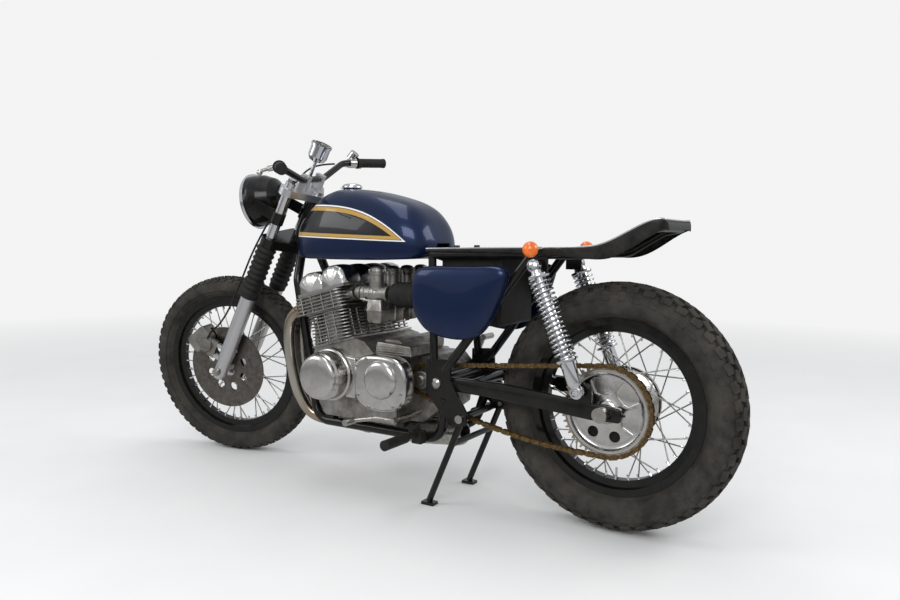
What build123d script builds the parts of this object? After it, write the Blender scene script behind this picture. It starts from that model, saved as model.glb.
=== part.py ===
"""Cafe racer motorcycle with an air-cooled four across the frame, parked on its centre stand.

Lengths are millimetres. +X is forward, +Y is the rider's left and +Z is up. The origin is on the floor,
midway between the foremost and rearmost tread. The steering is turned left, as the machine is parked.
"""
from build123d import *
from math import acos, asin, atan2, cos, degrees, hypot, radians, sin, sqrt, tan
import os

os.makedirs("parts", exist_ok=True)

# Wheels, tyres and how the machine stands
wheel_base = 1455
tyre_front_r = 325
tyre_front_w = 90
tyre_rear_r = 338
tyre_rear_w = 128
rear_lift = 5
rim_front_r = 256
rim_front_half = 27
rim_rear_r = 243
rim_rear_half = 35
rim_flange = 4
rim_seat_drop = 14.5
rim_well_drop = 36
rim_wall = 4
spokes_a_side = 20
spoke_r = 1.9
spoke_lean = 35

# Steering
rake = 27.5
fork_offset = 60
fork_half = 92
steer_rest = 14.2
stanchion_r = 17.5
slider_r = 26
slider_top = 318
gaiter_top = 500
lower_clamp_z = 502
lower_clamp_h = 32
upper_clamp_z = 694
upper_clamp_h = 24
bar_r = 11.1
grip_r = 16.5

# Fits and gaps
seat_gap = 0.3
pin_gap = 0.05
run_gap = 0.08

# Frame
rail_r = 14
cradle_r = 15
rail_y = 112
rail_z = 745
cradle_y = 100
cradle_z = 196
pivot_x = -222
pivot_z = 372
pivot_plate_y = 134
pivot_plate_t = 8
stand_x = -300
stand_z = 276
stand_foot_x = -187
stand_leg_y = 119.5
stand_leg_r = 9.5

# Engine
crank_x = 140
crank_z = 368
cylinder_tilt = 15
cylinder_pitch = 80
barrel_z = 92
fin_pitch = 10.5
fin_t = 3.2
barrel_fins = 10
head_fins = 6

# Chain drive
chain_pitch = 15.875
chain_y = 94
rear_teeth = 48
front_teeth = 17
sprocket_t = 7
sprocket_x = -145
sprocket_z = 368

# Suspension
shock_top_x = -533
shock_top_z = 722
shock_low_x = -662
shock_low_z = 398
shock_y = 152

# Places that follow from the sizes above
rear_x = (tyre_rear_r - tyre_front_r - wheel_base) / 2
front_x = rear_x + wheel_base
rear_z = tyre_rear_r + rear_lift
front_z = tyre_front_r
rake_sin, rake_cos = sin(radians(rake)), cos(radians(rake))
turn_sin, turn_cos = sin(radians(steer_rest)), cos(radians(steer_rest))
steer_foot = (front_x - fork_offset * rake_cos, 0, front_z - fork_offset * rake_sin)
# In the steering's own frame Z runs up the steering axis and X points square ahead of it
steering = Plane(
    origin=steer_foot,
    x_dir=(rake_cos * turn_cos, turn_sin, rake_sin * turn_cos),
    z_dir=(-rake_sin, 0, rake_cos),
)
straight = Plane(origin=steer_foot, x_dir=(rake_cos, 0, rake_sin), z_dir=(-rake_sin, 0, rake_cos))
tilt_sin, tilt_cos = sin(radians(cylinder_tilt)), cos(radians(cylinder_tilt))
# In the cylinders' own frame Z runs up the bores from the crankshaft
cylinders = Plane(
    origin=(crank_x, 0, crank_z),
    x_dir=(tilt_cos, 0, -tilt_sin),
    z_dir=(tilt_sin, 0, tilt_cos),
)
at_steering = steering.location
at_front_wheel = steering.location * Location((fork_offset, 0, 0))
at_rear_wheel = Location((rear_x, 0, rear_z))
at_cylinders = cylinders.location
sprocket_r = chain_pitch / 2 / sin(radians(180 / rear_teeth))
pinion_r = chain_pitch / 2 / sin(radians(180 / front_teeth))
bore_ys = [cylinder_pitch * k for k in (-1.5, -0.5, 0.5, 1.5)]
case_half = 1.5 * cylinder_pitch + 30


def keep(piece, name, place=Location()):
    """Puts a finished piece in its place, labels it and writes it."""
    solid = place * piece.part
    solid.label = name
    export_step(solid, f"parts/{name}.step")


def rod(start, end, radius, mode=Mode.ADD):
    """Adds a round bar between two points to the piece being built."""
    a, b = Vector(*start), Vector(*end)
    with Locations(Plane(origin=a, z_dir=b - a)):
        Cylinder(radius, (b - a).length, align=(Align.CENTER, Align.CENTER, Align.MIN), mode=mode)


def tube(points, radii, outer_r):
    """Adds a round tube along straight runs joined by arcs to the piece being built."""
    with BuildLine(mode=Mode.PRIVATE) as route:
        FilletPolyline(*points, radius=radii)
    with BuildSketch(Plane(route.line @ 0, z_dir=route.line % 0), mode=Mode.PRIVATE) as section:
        Circle(outer_r)
    sweep(section.sketch, path=route.line)


def block(low, high, mode=Mode.ADD):
    """Adds a box between two corners to the piece being built."""
    size = [h - l for l, h in zip(low, high)]
    with Locations(tuple((l + h) / 2 for l, h in zip(low, high))):
        Box(*size, mode=mode)


def turned(profile, start, direction, mode=Mode.ADD):
    """Adds a turned shape, given as (radius, distance along its axis) points, to the piece being built."""
    upright = Plane(origin=start, z_dir=direction)
    lying = Plane(origin=start, x_dir=upright.x_dir, z_dir=-upright.y_dir)
    with BuildSketch(lying, mode=Mode.PRIVATE) as half:
        with BuildLine():
            Polyline(*profile, close=True)
        make_face()
    revolve(half.sketch, axis=Axis(start, direction), mode=mode)


def plate(points, y_from, y_to, corner=0, mode=Mode.ADD):
    """Adds a plate with the given (x, z) outline between two y values to the piece being built."""
    with BuildSketch(Plane.XZ.offset(-y_to), mode=Mode.PRIVATE) as outline:
        with BuildLine():
            Polyline(*points, close=True)
        make_face()
        if corner:
            fillet(vertices(), radius=corner)
    extrude(outline.sketch, amount=y_to - y_from, mode=mode)


def cable(points, thickness):
    """Adds a cord whose bends use nearly half of the shorter run beside each of them."""
    radii = []
    for a, b, c in zip(points, points[1:], points[2:]):
        arriving, leaving = Vector(*b) - Vector(*a), Vector(*c) - Vector(*b)
        half_turn = radians(arriving.get_angle(leaving)) / 2
        radii.append(0.45 * min(arriving.length, leaving.length) / tan(half_turn))
    print("cord radii", [round(radius, 1) for radius in radii])
    tube(points, radii, thickness)


# Tyres, rims and spokes, each about its own axle along Y
# name, tyre radius, tyre width, flange radius, rim half width, spoke flange radius, its y on the left
# and on the right, place
wheels = [
    ("front", tyre_front_r, tyre_front_w, rim_front_r, rim_front_half, 62, 34, -34, at_front_wheel),
    ("rear", tyre_rear_r, tyre_rear_w, rim_rear_r, rim_rear_half, 96, 40, -46, at_rear_wheel),
]
for name, tyre_r, tyre_w, flange_r, half, hub_r, left_y, right_y, place in wheels:
    seat_r = flange_r - rim_seat_drop
    well_r = flange_r - rim_well_drop
    bead_y = half - rim_flange - seat_gap
    shoulder_y = 0.43 * tyre_w
    shoulder_r = tyre_r - 0.15 * tyre_w

    with BuildPart() as tyre:
        with BuildSketch(Plane.YZ):
            with BuildLine():
                Line((-bead_y, seat_r + seat_gap), (bead_y, seat_r + seat_gap))
                Line((bead_y, seat_r + seat_gap), (bead_y, flange_r + 2))
                ThreePointArc(
                    (bead_y, flange_r + 2),
                    (tyre_w / 2, (flange_r + shoulder_r) / 2 + 3),
                    (shoulder_y, shoulder_r),
                )
                ThreePointArc((shoulder_y, shoulder_r), (0, tyre_r), (-shoulder_y, shoulder_r))
                ThreePointArc(
                    (-shoulder_y, shoulder_r),
                    (-tyre_w / 2, (flange_r + shoulder_r) / 2 + 3),
                    (-bead_y, flange_r + 2),
                )
                Line((-bead_y, flange_r + 2), (-bead_y, seat_r + seat_gap))
            make_face()
        revolve(axis=Axis.Y)
    keep(tyre, f"{name}_tyre", place)

    with BuildPart() as rim:
        with BuildSketch(Plane.YZ):
            with BuildLine():
                half_outline = [
                    (0, well_r),
                    (0.32 * half, well_r),
                    (0.45 * half, seat_r - 2),
                    (half - rim_flange, seat_r),
                    (half - rim_flange, flange_r),
                    (half, flange_r),
                    (half, seat_r - rim_wall - 1),
                    (0.5 * half, seat_r - rim_wall - 3),
                    (0.36 * half + 1, well_r - rim_wall),
                    (0, well_r - rim_wall),
                ]
                mirrored = [(-y, r) for y, r in reversed(half_outline[1:-1])]
                Polyline(*half_outline, *mirrored, close=True)
            make_face()
        revolve(axis=Axis.Y)
    keep(rim, f"{name}_rim", place)

    with BuildPart() as spokes:
        for k in range(spokes_a_side):
            for side, flange_y in ((1, left_y), (-1, right_y)):
                hand = 1 if k % 2 else -1
                rim_angle = 360 / spokes_a_side * (k + (0.5 if side < 0 else 0))
                hub_angle = rim_angle + hand * spoke_lean
                hub_end = hub_r + 1.8
                rim_end = well_r - rim_wall - 1.2
                foot = (
                    hub_end * cos(radians(hub_angle)),
                    flange_y + hand * side * 4.2,
                    hub_end * sin(radians(hub_angle)),
                )
                top = (
                    rim_end * cos(radians(rim_angle)),
                    side * (4.4 + hand * 2.6),
                    rim_end * sin(radians(rim_angle)),
                )
                rod(foot, top, spoke_r)
    keep(spokes, f"{name}_spokes", place)

# Front hub, with the disc on its left
axle_r = 8.5
front_hub_r = 62
disc_r = 148
disc_y = 54
disc_t = 6
with BuildPart() as front_hub:
    with BuildSketch(Plane.YZ):
        with BuildLine():
            Polyline(
                (-46, axle_r + run_gap),
                (50, axle_r + run_gap),
                (50, 34),
                (disc_y - disc_t / 2, 34),
                (disc_y - disc_t / 2, 44),
                (41, 44),
                (41, front_hub_r),
                (27, front_hub_r),
                (22, 30),
                (-22, 30),
                (-27, front_hub_r),
                (-41, front_hub_r),
                (-43, 32),
                (-46, 32),
                close=True,
            )
        make_face()
    revolve(axis=Axis.Y)
keep(front_hub, "front_hub", at_front_wheel)

with BuildPart() as front_disc:
    with BuildSketch(Plane.XZ.offset(-disc_y - disc_t / 2)):
        Circle(disc_r)
        Circle(34 + seat_gap, mode=Mode.SUBTRACT)
        with PolarLocations(72, 8):
            Circle(15, mode=Mode.SUBTRACT)
    extrude(amount=disc_t)
    with BuildSketch(Plane.XZ.offset(-disc_y - disc_t / 2 - 1)):
        Circle(100)
        Circle(92, mode=Mode.SUBTRACT)
    extrude(amount=disc_t + 2)
keep(front_disc, "front_disc", at_front_wheel)

# Rear hub with its brake drum on the right and the cush drive and sprocket on the left
rear_axle_r = 9.5
rear_hub_r = 96
carrier_r = 112
with BuildPart() as rear_hub:
    with BuildSketch(Plane.YZ):
        with BuildLine():
            Polyline(
                (-62, rear_axle_r + run_gap),
                (56, rear_axle_r + run_gap),
                (56, 78),
                (48, 88),
                (48, rear_hub_r),
                (32, rear_hub_r),
                (26, 62),
                (-20, 66),
                (-38, rear_hub_r),
                (-54, rear_hub_r),
                (-58, 100),
                (-66, 100),
                (-66, 90),
                (-62, 88),
                close=True,
            )
        make_face()
    revolve(axis=Axis.Y)
keep(rear_hub, "rear_hub", at_rear_wheel)

with BuildPart() as cush_drive:
    with BuildSketch(Plane.YZ):
        with BuildLine():
            Polyline(
                (56, rear_axle_r + run_gap),
                (100, rear_axle_r + run_gap),
                (100, 30),
                (90, 38),
                (86, 98),
                (chain_y + sprocket_t / 2, 104),
                (chain_y + sprocket_t / 2, carrier_r),
                (chain_y - sprocket_t / 2 - seat_gap, carrier_r),
                (chain_y - sprocket_t / 2 - seat_gap, carrier_r + 1.5),
                (82, carrier_r + 1.5),
                (70, 104),
                (56, 98),
                close=True,
            )
        make_face()
    revolve(axis=Axis.Y)
keep(cush_drive, "cush_drive", at_rear_wheel)


def add_sprocket(teeth, pitch_r, bore_r, thickness):
    """Adds a toothed disc about Y, centred on Y = 0, to the piece being built."""
    root_r = pitch_r - 4.8
    tip_r = pitch_r + 4.2
    step = 360 / teeth
    outline = []
    for k in range(teeth):
        for share, radius in ((0.0, root_r), (0.22, root_r), (0.42, tip_r), (0.58, tip_r), (0.78, root_r)):
            if share:
                angle = radians(step * (k + share))
                outline.append((radius * cos(angle), radius * sin(angle)))
    with BuildSketch(Plane.XZ.offset(-thickness / 2), mode=Mode.PRIVATE) as face:
        with BuildLine():
            Polyline(*outline, close=True)
        make_face()
        Circle(bore_r, mode=Mode.SUBTRACT)
    extrude(face.sketch, amount=thickness)


with BuildPart() as rear_sprocket:
    add_sprocket(rear_teeth, sprocket_r, carrier_r + seat_gap, sprocket_t)
keep(rear_sprocket, "rear_sprocket", at_rear_wheel * Location((0, chain_y, 0)))


def along(values):
    """A point of the steering's straight-ahead frame, in the machine's frame."""
    x, y, z = values
    foot_x, _, foot_z = steer_foot
    return (foot_x + x * rake_cos - z * rake_sin, y, foot_z + x * rake_sin + z * rake_cos)


# Frame: head tube, backbone, double cradle, seat rails with an upswept hoop, and the pivot plates
stem_r = 13
head_r = 25
head_low = lower_clamp_z + lower_clamp_h + 5
head_top = upper_clamp_z - 5
backbone_r = 20
stay_r = 12
pivot_bolt_r = 8
stand_bolt_r = 7
case_low = 230
mount_xs = (205, -120)
rail_front = -186
rail_end_x = -700
hoop_x = -850
hoop_z = 828
with BuildPart() as frame:
    rod(along((0, 0, head_low)), along((0, 0, head_top)), head_r)
    tube([along((-4, 0, head_top - 60)), (-90, 0, 758), (rail_front, 0, rail_z - 10)], [60], backbone_r)
    rod((rail_front, -rail_y, rail_z), (rail_front, rail_y, rail_z), rail_r)
    tube(
        [
            (rail_front, rail_y, rail_z),
            (rail_end_x, rail_y, rail_z + 12),
            (hoop_x + 52, rail_y, hoop_z - 12),
            (hoop_x, rail_y, hoop_z),
            (hoop_x, -rail_y, hoop_z),
            (hoop_x + 52, -rail_y, hoop_z - 12),
            (rail_end_x, -rail_y, rail_z + 12),
            (rail_front, -rail_y, rail_z),
        ],
        [70, 50, 26, 26, 50, 70],
        rail_r,
    )
    rod((-560, -rail_y, rail_z + 9), (-560, rail_y, rail_z + 9), stay_r)
    rod((-266, -pivot_plate_y, stand_z - 14), (-266, pivot_plate_y, stand_z - 14), 10)
    for side in (1, -1):
        tube(
            [
                along((-18, side * 14, head_low + 45)),
                (368, side * 80, 650),
                (302, side * 82, 330),
                (262, side * cradle_y, cradle_z),
                (-215, side * cradle_y, cradle_z),
                (-246, side * (pivot_plate_y - 6), 330),
            ],
            [60, 200, 60, 60],
            cradle_r,
        )
        rod((rail_front, side * rail_y, rail_z), (-208, side * (pivot_plate_y - 4), 424), stay_r)
        rod((-505, side * (rail_y + 4), rail_z + 4), (-244, side * (pivot_plate_y - 4), 410), stay_r + 1)
        plate_y = side * pivot_plate_y
        plate(
            [
                (-186, 440),
                (-264, 446),
                (-268, 380),
                (stand_x - 20, stand_z + 22),
                (stand_x - 20, stand_z - 18),
                (stand_x + 22, stand_z - 26),
                (-222, 300),
                (-184, 344),
            ],
            plate_y - pivot_plate_t / 2,
            plate_y + pivot_plate_t / 2,
        )
        lug_low, lug_high = side * 120 - 4, side * 120 + 4
        block((shock_top_x - 24, lug_low, shock_top_z - 18), (shock_top_x + 24, lug_high, rail_z + 12))
        stud_y = side * (shock_y + 20)
        rod((shock_top_x, side * 118, shock_top_z), (shock_top_x, stud_y, shock_top_z), pivot_bolt_r)
        for x in mount_xs:
            mount_low, mount_high = side * cradle_y - 12, side * cradle_y + 12
            block((x - 16, mount_low, cradle_z), (x + 16, mount_high, case_low - seat_gap))
    rod(along((0, 0, head_low - 1)), along((0, 0, head_top + 1)), stem_r + run_gap, mode=Mode.SUBTRACT)
    for side in (1, -1):
        inner_y, outer_y = side * (pivot_plate_y - 12), side * (pivot_plate_y + 12)
        for x, z, bolt_r in ((pivot_x, pivot_z, pivot_bolt_r), (stand_x, stand_z, stand_bolt_r)):
            rod((x, inner_y, z), (x, outer_y, z), bolt_r + pin_gap, mode=Mode.SUBTRACT)
keep(frame, "frame")

# Seat pan: a bare sheet on the rails, turned down at its edges and swept up at the tail
pan_front = -176
pan_y = 126.5
pan_t = 2.5
seat_x = -388
seat_bush_top = rail_z + 27
rail_top = rail_r + seat_gap
with BuildPart() as seat_pan:
    with BuildSketch(Plane.XZ.offset(-pan_y)):
        with BuildLine():
            Polyline(
                (pan_front, rail_z + rail_top),
                (rail_end_x + 16, rail_z + 12 + rail_top),
                (rail_end_x - 14, rail_z + 25 + rail_top),
                (hoop_x + 62, hoop_z - 15 + rail_top),
                (hoop_x + 62, hoop_z - 15 + rail_top + pan_t),
                (rail_end_x - 15, rail_z + 25 + rail_top + pan_t),
                (rail_end_x + 15, rail_z + 12 + rail_top + pan_t),
                (pan_front, rail_z + rail_top + pan_t),
                close=True,
            )
        make_face()
    extrude(amount=2 * pan_y)
    for lip_y in (-pan_y - pan_t, pan_y):
        lip = [
            (pan_front, rail_z + rail_top - 12),
            (rail_end_x + 16, rail_z + rail_top),
            (rail_end_x + 16, rail_z + 12 + rail_top + pan_t),
            (pan_front, rail_z + rail_top + pan_t),
        ]
        plate(lip, lip_y, lip_y + pan_t)
    # Bushes whose tops are level, for the seat's four screws
    for x in (seat_x - 150, seat_x + 150):
        foot_z = rail_z + rail_top + 1 + 12 * (pan_front - x) / (pan_front - rail_end_x - 16)
        for y in (-60, 60):
            rod((x, y, foot_z), (x, y, seat_bush_top), 9)
            rod((x, y, foot_z - 10), (x, y, seat_bush_top + 10), 4.2, mode=Mode.SUBTRACT)
keep(seat_pan, "seat_pan")

# Fuel tank: cross-sections as (x, underside z, half width, top z)
tank_sections = [
    (354, 732, 92, 862),
    (318, 724, 118, 886),
    (262, 722, 136, 930),
    (196, 722, 144, 946),
    (125, 723, 147, 936),
    (30, 725, 144, 906),
    (-88, 730, 126, 856),
    (-166, 738, 84, 790),
]
cap_x = 201
cap_r = 31
neck_z = 942
cap_hinge_x = 40
with BuildPart() as fuel_tank:
    for x, low, half_w, top in tank_sections:
        height = top - low
        with BuildSketch(Plane(origin=(x, 0, 0), x_dir=(0, 1, 0), z_dir=(1, 0, 0))):
            with BuildLine():
                foot = (0.88 * half_w, low)
                waist = (half_w, low + 0.42 * height)
                brow = (0.74 * half_w, low + 0.84 * height)
                Line((-foot[0], low), foot)
                ThreePointArc(foot, waist, brow)
                ThreePointArc(brow, (0, top), (-brow[0], brow[1]))
                ThreePointArc((-brow[0], brow[1]), (-waist[0], waist[1]), (-foot[0], low))
            make_face()
    loft()
    with BuildSketch(Plane.XZ.offset(-36)):
        with BuildLine():
            Polyline((400, 700), (400, 900), (-100, 786), (-180, 772), (-180, 700), close=True)
        make_face()
    extrude(amount=72, mode=Mode.SUBTRACT)
    rod((cap_x, 0, neck_z - 40), (cap_x, 0, neck_z + 8), cap_r - 3)
    for y in (-50, 50):
        block((rail_front + rail_r + seat_gap, y - 10, rail_z - 4), (-150, y + 10, rail_z + 6))
keep(fuel_tank, "fuel_tank")

with BuildPart() as fuel_cap:
    with BuildSketch(Plane.XZ):
        with BuildLine():
            Polyline(
                (0, neck_z + 8.3),
                (cap_r, neck_z + 8.3),
                (cap_r + 2, neck_z + 13),
                (cap_r, neck_z + 20),
                (0, neck_z + 25),
                close=True,
            )
        make_face()
    revolve(axis=Axis.Z)
    block((cap_r - 4, -9, neck_z + 9), (cap_hinge_x, 9, neck_z + 15))
    rod((cap_hinge_x, -9, neck_z + 12), (cap_hinge_x, 9, neck_z + 12), 3.5)
keep(fuel_cap, "fuel_cap", Location((cap_x, 0, 0)))

# Side covers: pressed shells, one for each side
cover_in_y = 150
cover_depth = 32
cover_outline = [(-172, 700), (-168, 610), (-232, 520), (-330, 508), (-392, 540), (-466, 690), (-440, 714)]
with BuildPart() as side_covers:
    for side in (1, -1):
        with BuildPart(mode=Mode.PRIVATE) as cover:
            with BuildSketch(Plane.XZ.offset(-side * cover_in_y)):
                with BuildLine():
                    Polyline(*cover_outline, close=True)
                make_face()
                fillet(vertices(), radius=18)
            extrude(amount=-side * cover_depth, taper=14)
            outer = faces().sort_by(Axis.Y)[-1 if side > 0 else 0]
            fillet(outer.edges(), radius=7)
            offset(amount=-2.5, openings=[faces().sort_by(Axis.Y)[0 if side > 0 else -1]])
        add(cover.part)
        for x, z, from_y in ((-400, 612, 135), (-194.6, 620, 131.5)):
            rod((x, side * from_y, z), (x, side * (cover_in_y + cover_depth - 1), z), 5)
keep(side_covers, "side_covers")

# Fork: clamps, stanchions, gaiters, sliders and the front axle, all in the steering's own frame
leg_ys = (fork_half, -fork_half)
boss_r = 22
clamp_r = 29
bar_x = 36
bar_z = 757
with BuildPart() as lower_clamp:
    with BuildSketch(Plane.XY.offset(lower_clamp_z)):
        Circle(boss_r)
        with Locations((fork_offset, fork_half), (fork_offset, -fork_half)):
            Circle(clamp_r)
        make_hull()
        with Locations((fork_offset, fork_half), (fork_offset, -fork_half)):
            Circle(stanchion_r + pin_gap, mode=Mode.SUBTRACT)
    extrude(amount=lower_clamp_h)
    rod((0, 0, lower_clamp_z + 2), (0, 0, upper_clamp_z + upper_clamp_h), stem_r)
keep(lower_clamp, "lower_clamp", at_steering)

with BuildPart() as upper_clamp:
    with BuildSketch(Plane.XY.offset(upper_clamp_z)):
        Circle(boss_r)
        with Locations((fork_offset, fork_half), (fork_offset, -fork_half)):
            Circle(clamp_r)
        make_hull()
        with Locations((fork_offset, fork_half), (fork_offset, -fork_half)):
            Circle(stanchion_r + pin_gap, mode=Mode.SUBTRACT)
    extrude(amount=upper_clamp_h)
    rod((0, 0, upper_clamp_z + 4), (0, 0, upper_clamp_z + upper_clamp_h + 12), 17)
    for y in (49, -49):
        block((bar_x - 15, y - 11, upper_clamp_z + 10), (bar_x + 15, y + 11, bar_z + 16))
        rod((bar_x, y - 12, bar_z), (bar_x, y + 12, bar_z), bar_r + pin_gap, mode=Mode.SUBTRACT)
    stem_top = upper_clamp_z + upper_clamp_h + seat_gap
    rod((0, 0, upper_clamp_z - 1), (0, 0, stem_top), stem_r + pin_gap, mode=Mode.SUBTRACT)
keep(upper_clamp, "upper_clamp", at_steering)

with BuildPart() as fork_tubes:
    for y in leg_ys:
        rod((fork_offset, y, 62), (fork_offset, y, 738), stanchion_r)
        with Locations((fork_offset, y, 738)):
            with BuildSketch(Plane.XY.offset(738), mode=Mode.PRIVATE) as hexagon:
                with Locations((fork_offset, y)):
                    RegularPolygon(15, 6)
        extrude(hexagon.sketch, amount=12)
keep(fork_tubes, "fork_tubes", at_steering)

with BuildPart() as gaiters:
    pleats = 9
    pleat = (gaiter_top - slider_top) / pleats
    bellows = [
        (slider_r + seat_gap, slider_top - 14),
        (slider_r + 4, slider_top - 14),
        (slider_r + 4, slider_top),
    ]
    for k in range(pleats):
        bellows.append((slider_r + 8, slider_top + pleat * (k + 0.5)))
        bellows.append((slider_r + 2, slider_top + pleat * (k + 1)))
    bellows += [
        (stanchion_r + seat_gap, gaiter_top),
        (stanchion_r + seat_gap, gaiter_top - 8),
        (slider_r, gaiter_top - 16),
        (slider_r, slider_top + seat_gap),
        (slider_r + seat_gap, slider_top + seat_gap),
    ]
    for y in leg_ys:
        turned(bellows, (fork_offset, y, 0), (0, 0, 1))
keep(gaiters, "fork_gaiters", at_steering)

leg_outline = [
    (0, -30),
    (20, -30),
    (24, -14),
    (24, 40),
    (slider_r, 60),
    (slider_r, slider_top),
    (stanchion_r + pin_gap, slider_top),
    (stanchion_r + pin_gap, 60),
    (0, 60),
]
with BuildPart() as sliders:
    for y in leg_ys:
        turned(leg_outline, (fork_offset, y, 0), (0, 0, 1))
    for z in (22, 66):
        block((fork_offset + 20, fork_half - 18, z), (112, fork_half - 6, z + 14))
    rod((fork_offset, -125, 0), (fork_offset, 125, 0), axle_r + pin_gap, mode=Mode.SUBTRACT)
keep(sliders, "fork_sliders", at_steering)

with BuildPart() as front_axle:
    rod((fork_offset, -130, 0), (fork_offset, 130, 0), axle_r)
    for low, high, radius in ((50.3, 65.7, 14), (-65.7, -46.3, 14), (118.3, 128, 14), (-128, -118.3, 14)):
        rod((fork_offset, low, 0), (fork_offset, high, 0), radius)
keep(front_axle, "front_axle", at_steering)

# Caliper: straddles the disc, on the lugs of the left slider
caliper_turn = 25
with BuildPart() as caliper:
    with BuildSketch(Plane.XZ.offset(-88), mode=Mode.PRIVATE) as jaw:
        with Locations(Location((fork_offset, 0), caliper_turn)):
            with Locations((136, 0)):
                RectangleRounded(64, 92, 16)
    extrude(jaw.sketch, amount=88 - 37)
    with BuildSketch(Plane.XZ.offset(-disc_y - 8), mode=Mode.PRIVATE) as slot:
        with Locations((fork_offset, 0)):
            Circle(disc_r + 6)
    extrude(slot.sketch, amount=16, mode=Mode.SUBTRACT)
    block((112 + seat_gap, fork_half - 18, 18), (140, fork_half - 6, 84))
    rod((154, 80, 52), (154, 94, 52), 24)
keep(caliper, "caliper", at_steering)

# Handlebar with its grips and levers
grip_end = Vector(-32, 362, 840)
bar_bend = Vector(54.7, 222.7, 803.7)
bar_foot = Vector(bar_x, 70, bar_z)
grip_dir = (bar_bend - grip_end).normalized()
grip_length = 112
with BuildPart() as handlebar:
    left = [tuple(grip_end), tuple(bar_bend), tuple(bar_foot)]
    right = [(x, -y, z) for x, y, z in reversed(left)]
    tube(left + right, [60, 45, 45, 60], bar_r)
keep(handlebar, "handlebar", at_steering)

with BuildPart() as grips:
    for side in (1, -1):
        start = Vector(grip_end.X, side * grip_end.Y, grip_end.Z)
        inward = Vector(grip_dir.X, side * grip_dir.Y, grip_dir.Z)
        shape = [
            (0, -6),
            (grip_r + 1, -6),
            (grip_r + 1, 0),
            (grip_r, 4),
            (grip_r, grip_length - 6),
            (grip_r + 4, grip_length - 5),
            (grip_r + 4, grip_length),
            (bar_r + pin_gap, grip_length),
            (bar_r + pin_gap, -seat_gap),
            (0, -seat_gap),
        ]
        turned(shape, start, inward)
keep(grips, "grips", at_steering)

with BuildPart() as levers:
    for side in (1, -1):
        start = Vector(grip_end.X, side * grip_end.Y, grip_end.Z)
        inward = Vector(grip_dir.X, side * grip_dir.Y, grip_dir.Z)
        ahead = Vector(0.82, 0, -0.57)
        perch = start + inward * (grip_length + 6)
        rod(perch, perch + inward * 26, 18)
        hinge = perch + inward * 14 + ahead * 38
        rod(perch + inward * 14, hinge, 9)
        ball = start + inward * 22 + ahead * 74
        middle = start + inward * 84 + ahead * 66
        tube([tuple(hinge), tuple(middle), tuple(ball)], [60], 5.5)
        with Locations(ball):
            Sphere(9)
        if side < 0:
            reservoir = perch + Vector(22, 0, 6)
            rod(reservoir, reservoir + Vector(-8, 0, 28), 17)
        rod(start, start + inward * (grip_length + seat_gap), grip_r + 9, mode=Mode.SUBTRACT)
        rod(start, start + inward * 160, bar_r + pin_gap, mode=Mode.SUBTRACT)
keep(levers, "levers", at_steering)

# Gauge on a stalk above the upper clamp
with BuildPart() as gauge:
    gauge_foot = (fork_offset, -20, upper_clamp_z + upper_clamp_h + seat_gap)
    turned(
        [
            (0, 0),
            (12, 0),
            (12, 6),
            (6, 10),
            (6, 90),
            (26, 98),
            (33, 112),
            (33, 148),
            (36, 148),
            (36, 156),
            (0, 156),
        ],
        gauge_foot,
        (0, 0, 1),
    )
keep(gauge, "gauge", at_steering)

# Headlamp: bucket, ring and lens about the lamp's own axis, on ears clamped to the stanchions
lamp_centre = Vector(200, 0, 593)
lamp_dip = rake + 8
lamp_dir = Vector(cos(radians(lamp_dip)), 0, -sin(radians(lamp_dip)))
with BuildPart() as headlamp_bucket:
    turned(
        [
            (0, -104),
            (42, -100),
            (68, -80),
            (84, -44),
            (88, -14),
            (88, -2),
            (84, -2),
            (84, -12),
            (80, -40),
            (64, -76),
            (40, -96),
            (0, -100),
        ],
        lamp_centre,
        lamp_dir,
    )
keep(headlamp_bucket, "headlamp_bucket", at_steering)

with BuildPart() as headlamp_ring:
    turned([(84.5, -1.7), (95, -1.7), (96, 6), (92, 12), (84.5, 13)], lamp_centre, lamp_dir)
keep(headlamp_ring, "headlamp_ring", at_steering)

with BuildPart() as headlamp_lens:
    turned([(0, 2), (84.2, -1), (84.2, 5), (70, 12), (40, 19), (0, 22)], lamp_centre, lamp_dir)
keep(headlamp_lens, "headlamp_lens", at_steering)

with BuildPart() as headlamp_brackets:
    bolt = lamp_centre - lamp_dir * 40
    for side in (1, -1):
        y = side * fork_half
        rod((fork_offset, y, 588), (fork_offset, y, 628), 22)
        ear_low, ear_high = sorted((side * 97, side * 101))
        block((fork_offset, ear_low, 592), (bolt.X + 16, ear_high, 632))
        rod((bolt.X, side * 86, bolt.Z), (bolt.X, side * 106, bolt.Z), 8)
        rod((fork_offset, y, 580), (fork_offset, y, 640), stanchion_r + pin_gap, mode=Mode.SUBTRACT)
keep(headlamp_brackets, "headlamp_brackets", at_steering)

# Brake hose, held all the way from the lever to the caliper
with BuildPart() as brake_hose:
    cable(
        [
            (84, -222, 786),
            (112, -176, 772),
            (126, -122, 748),
            (114, -64, 726),
            (98, -6, 700),
            (92, 36, 650),
            (100, 62, 590),
            (104, 78, 520),
            (106, 92, 440),
            (104, 98, 360),
            (106, 101, 280),
            (110, 103, 210),
            (124, 104, 152),
            (146, 99, 118),
            (154, 92, 79.8),
        ],
        3.2,
    )
keep(brake_hose, "brake_hose", at_steering)

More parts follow.
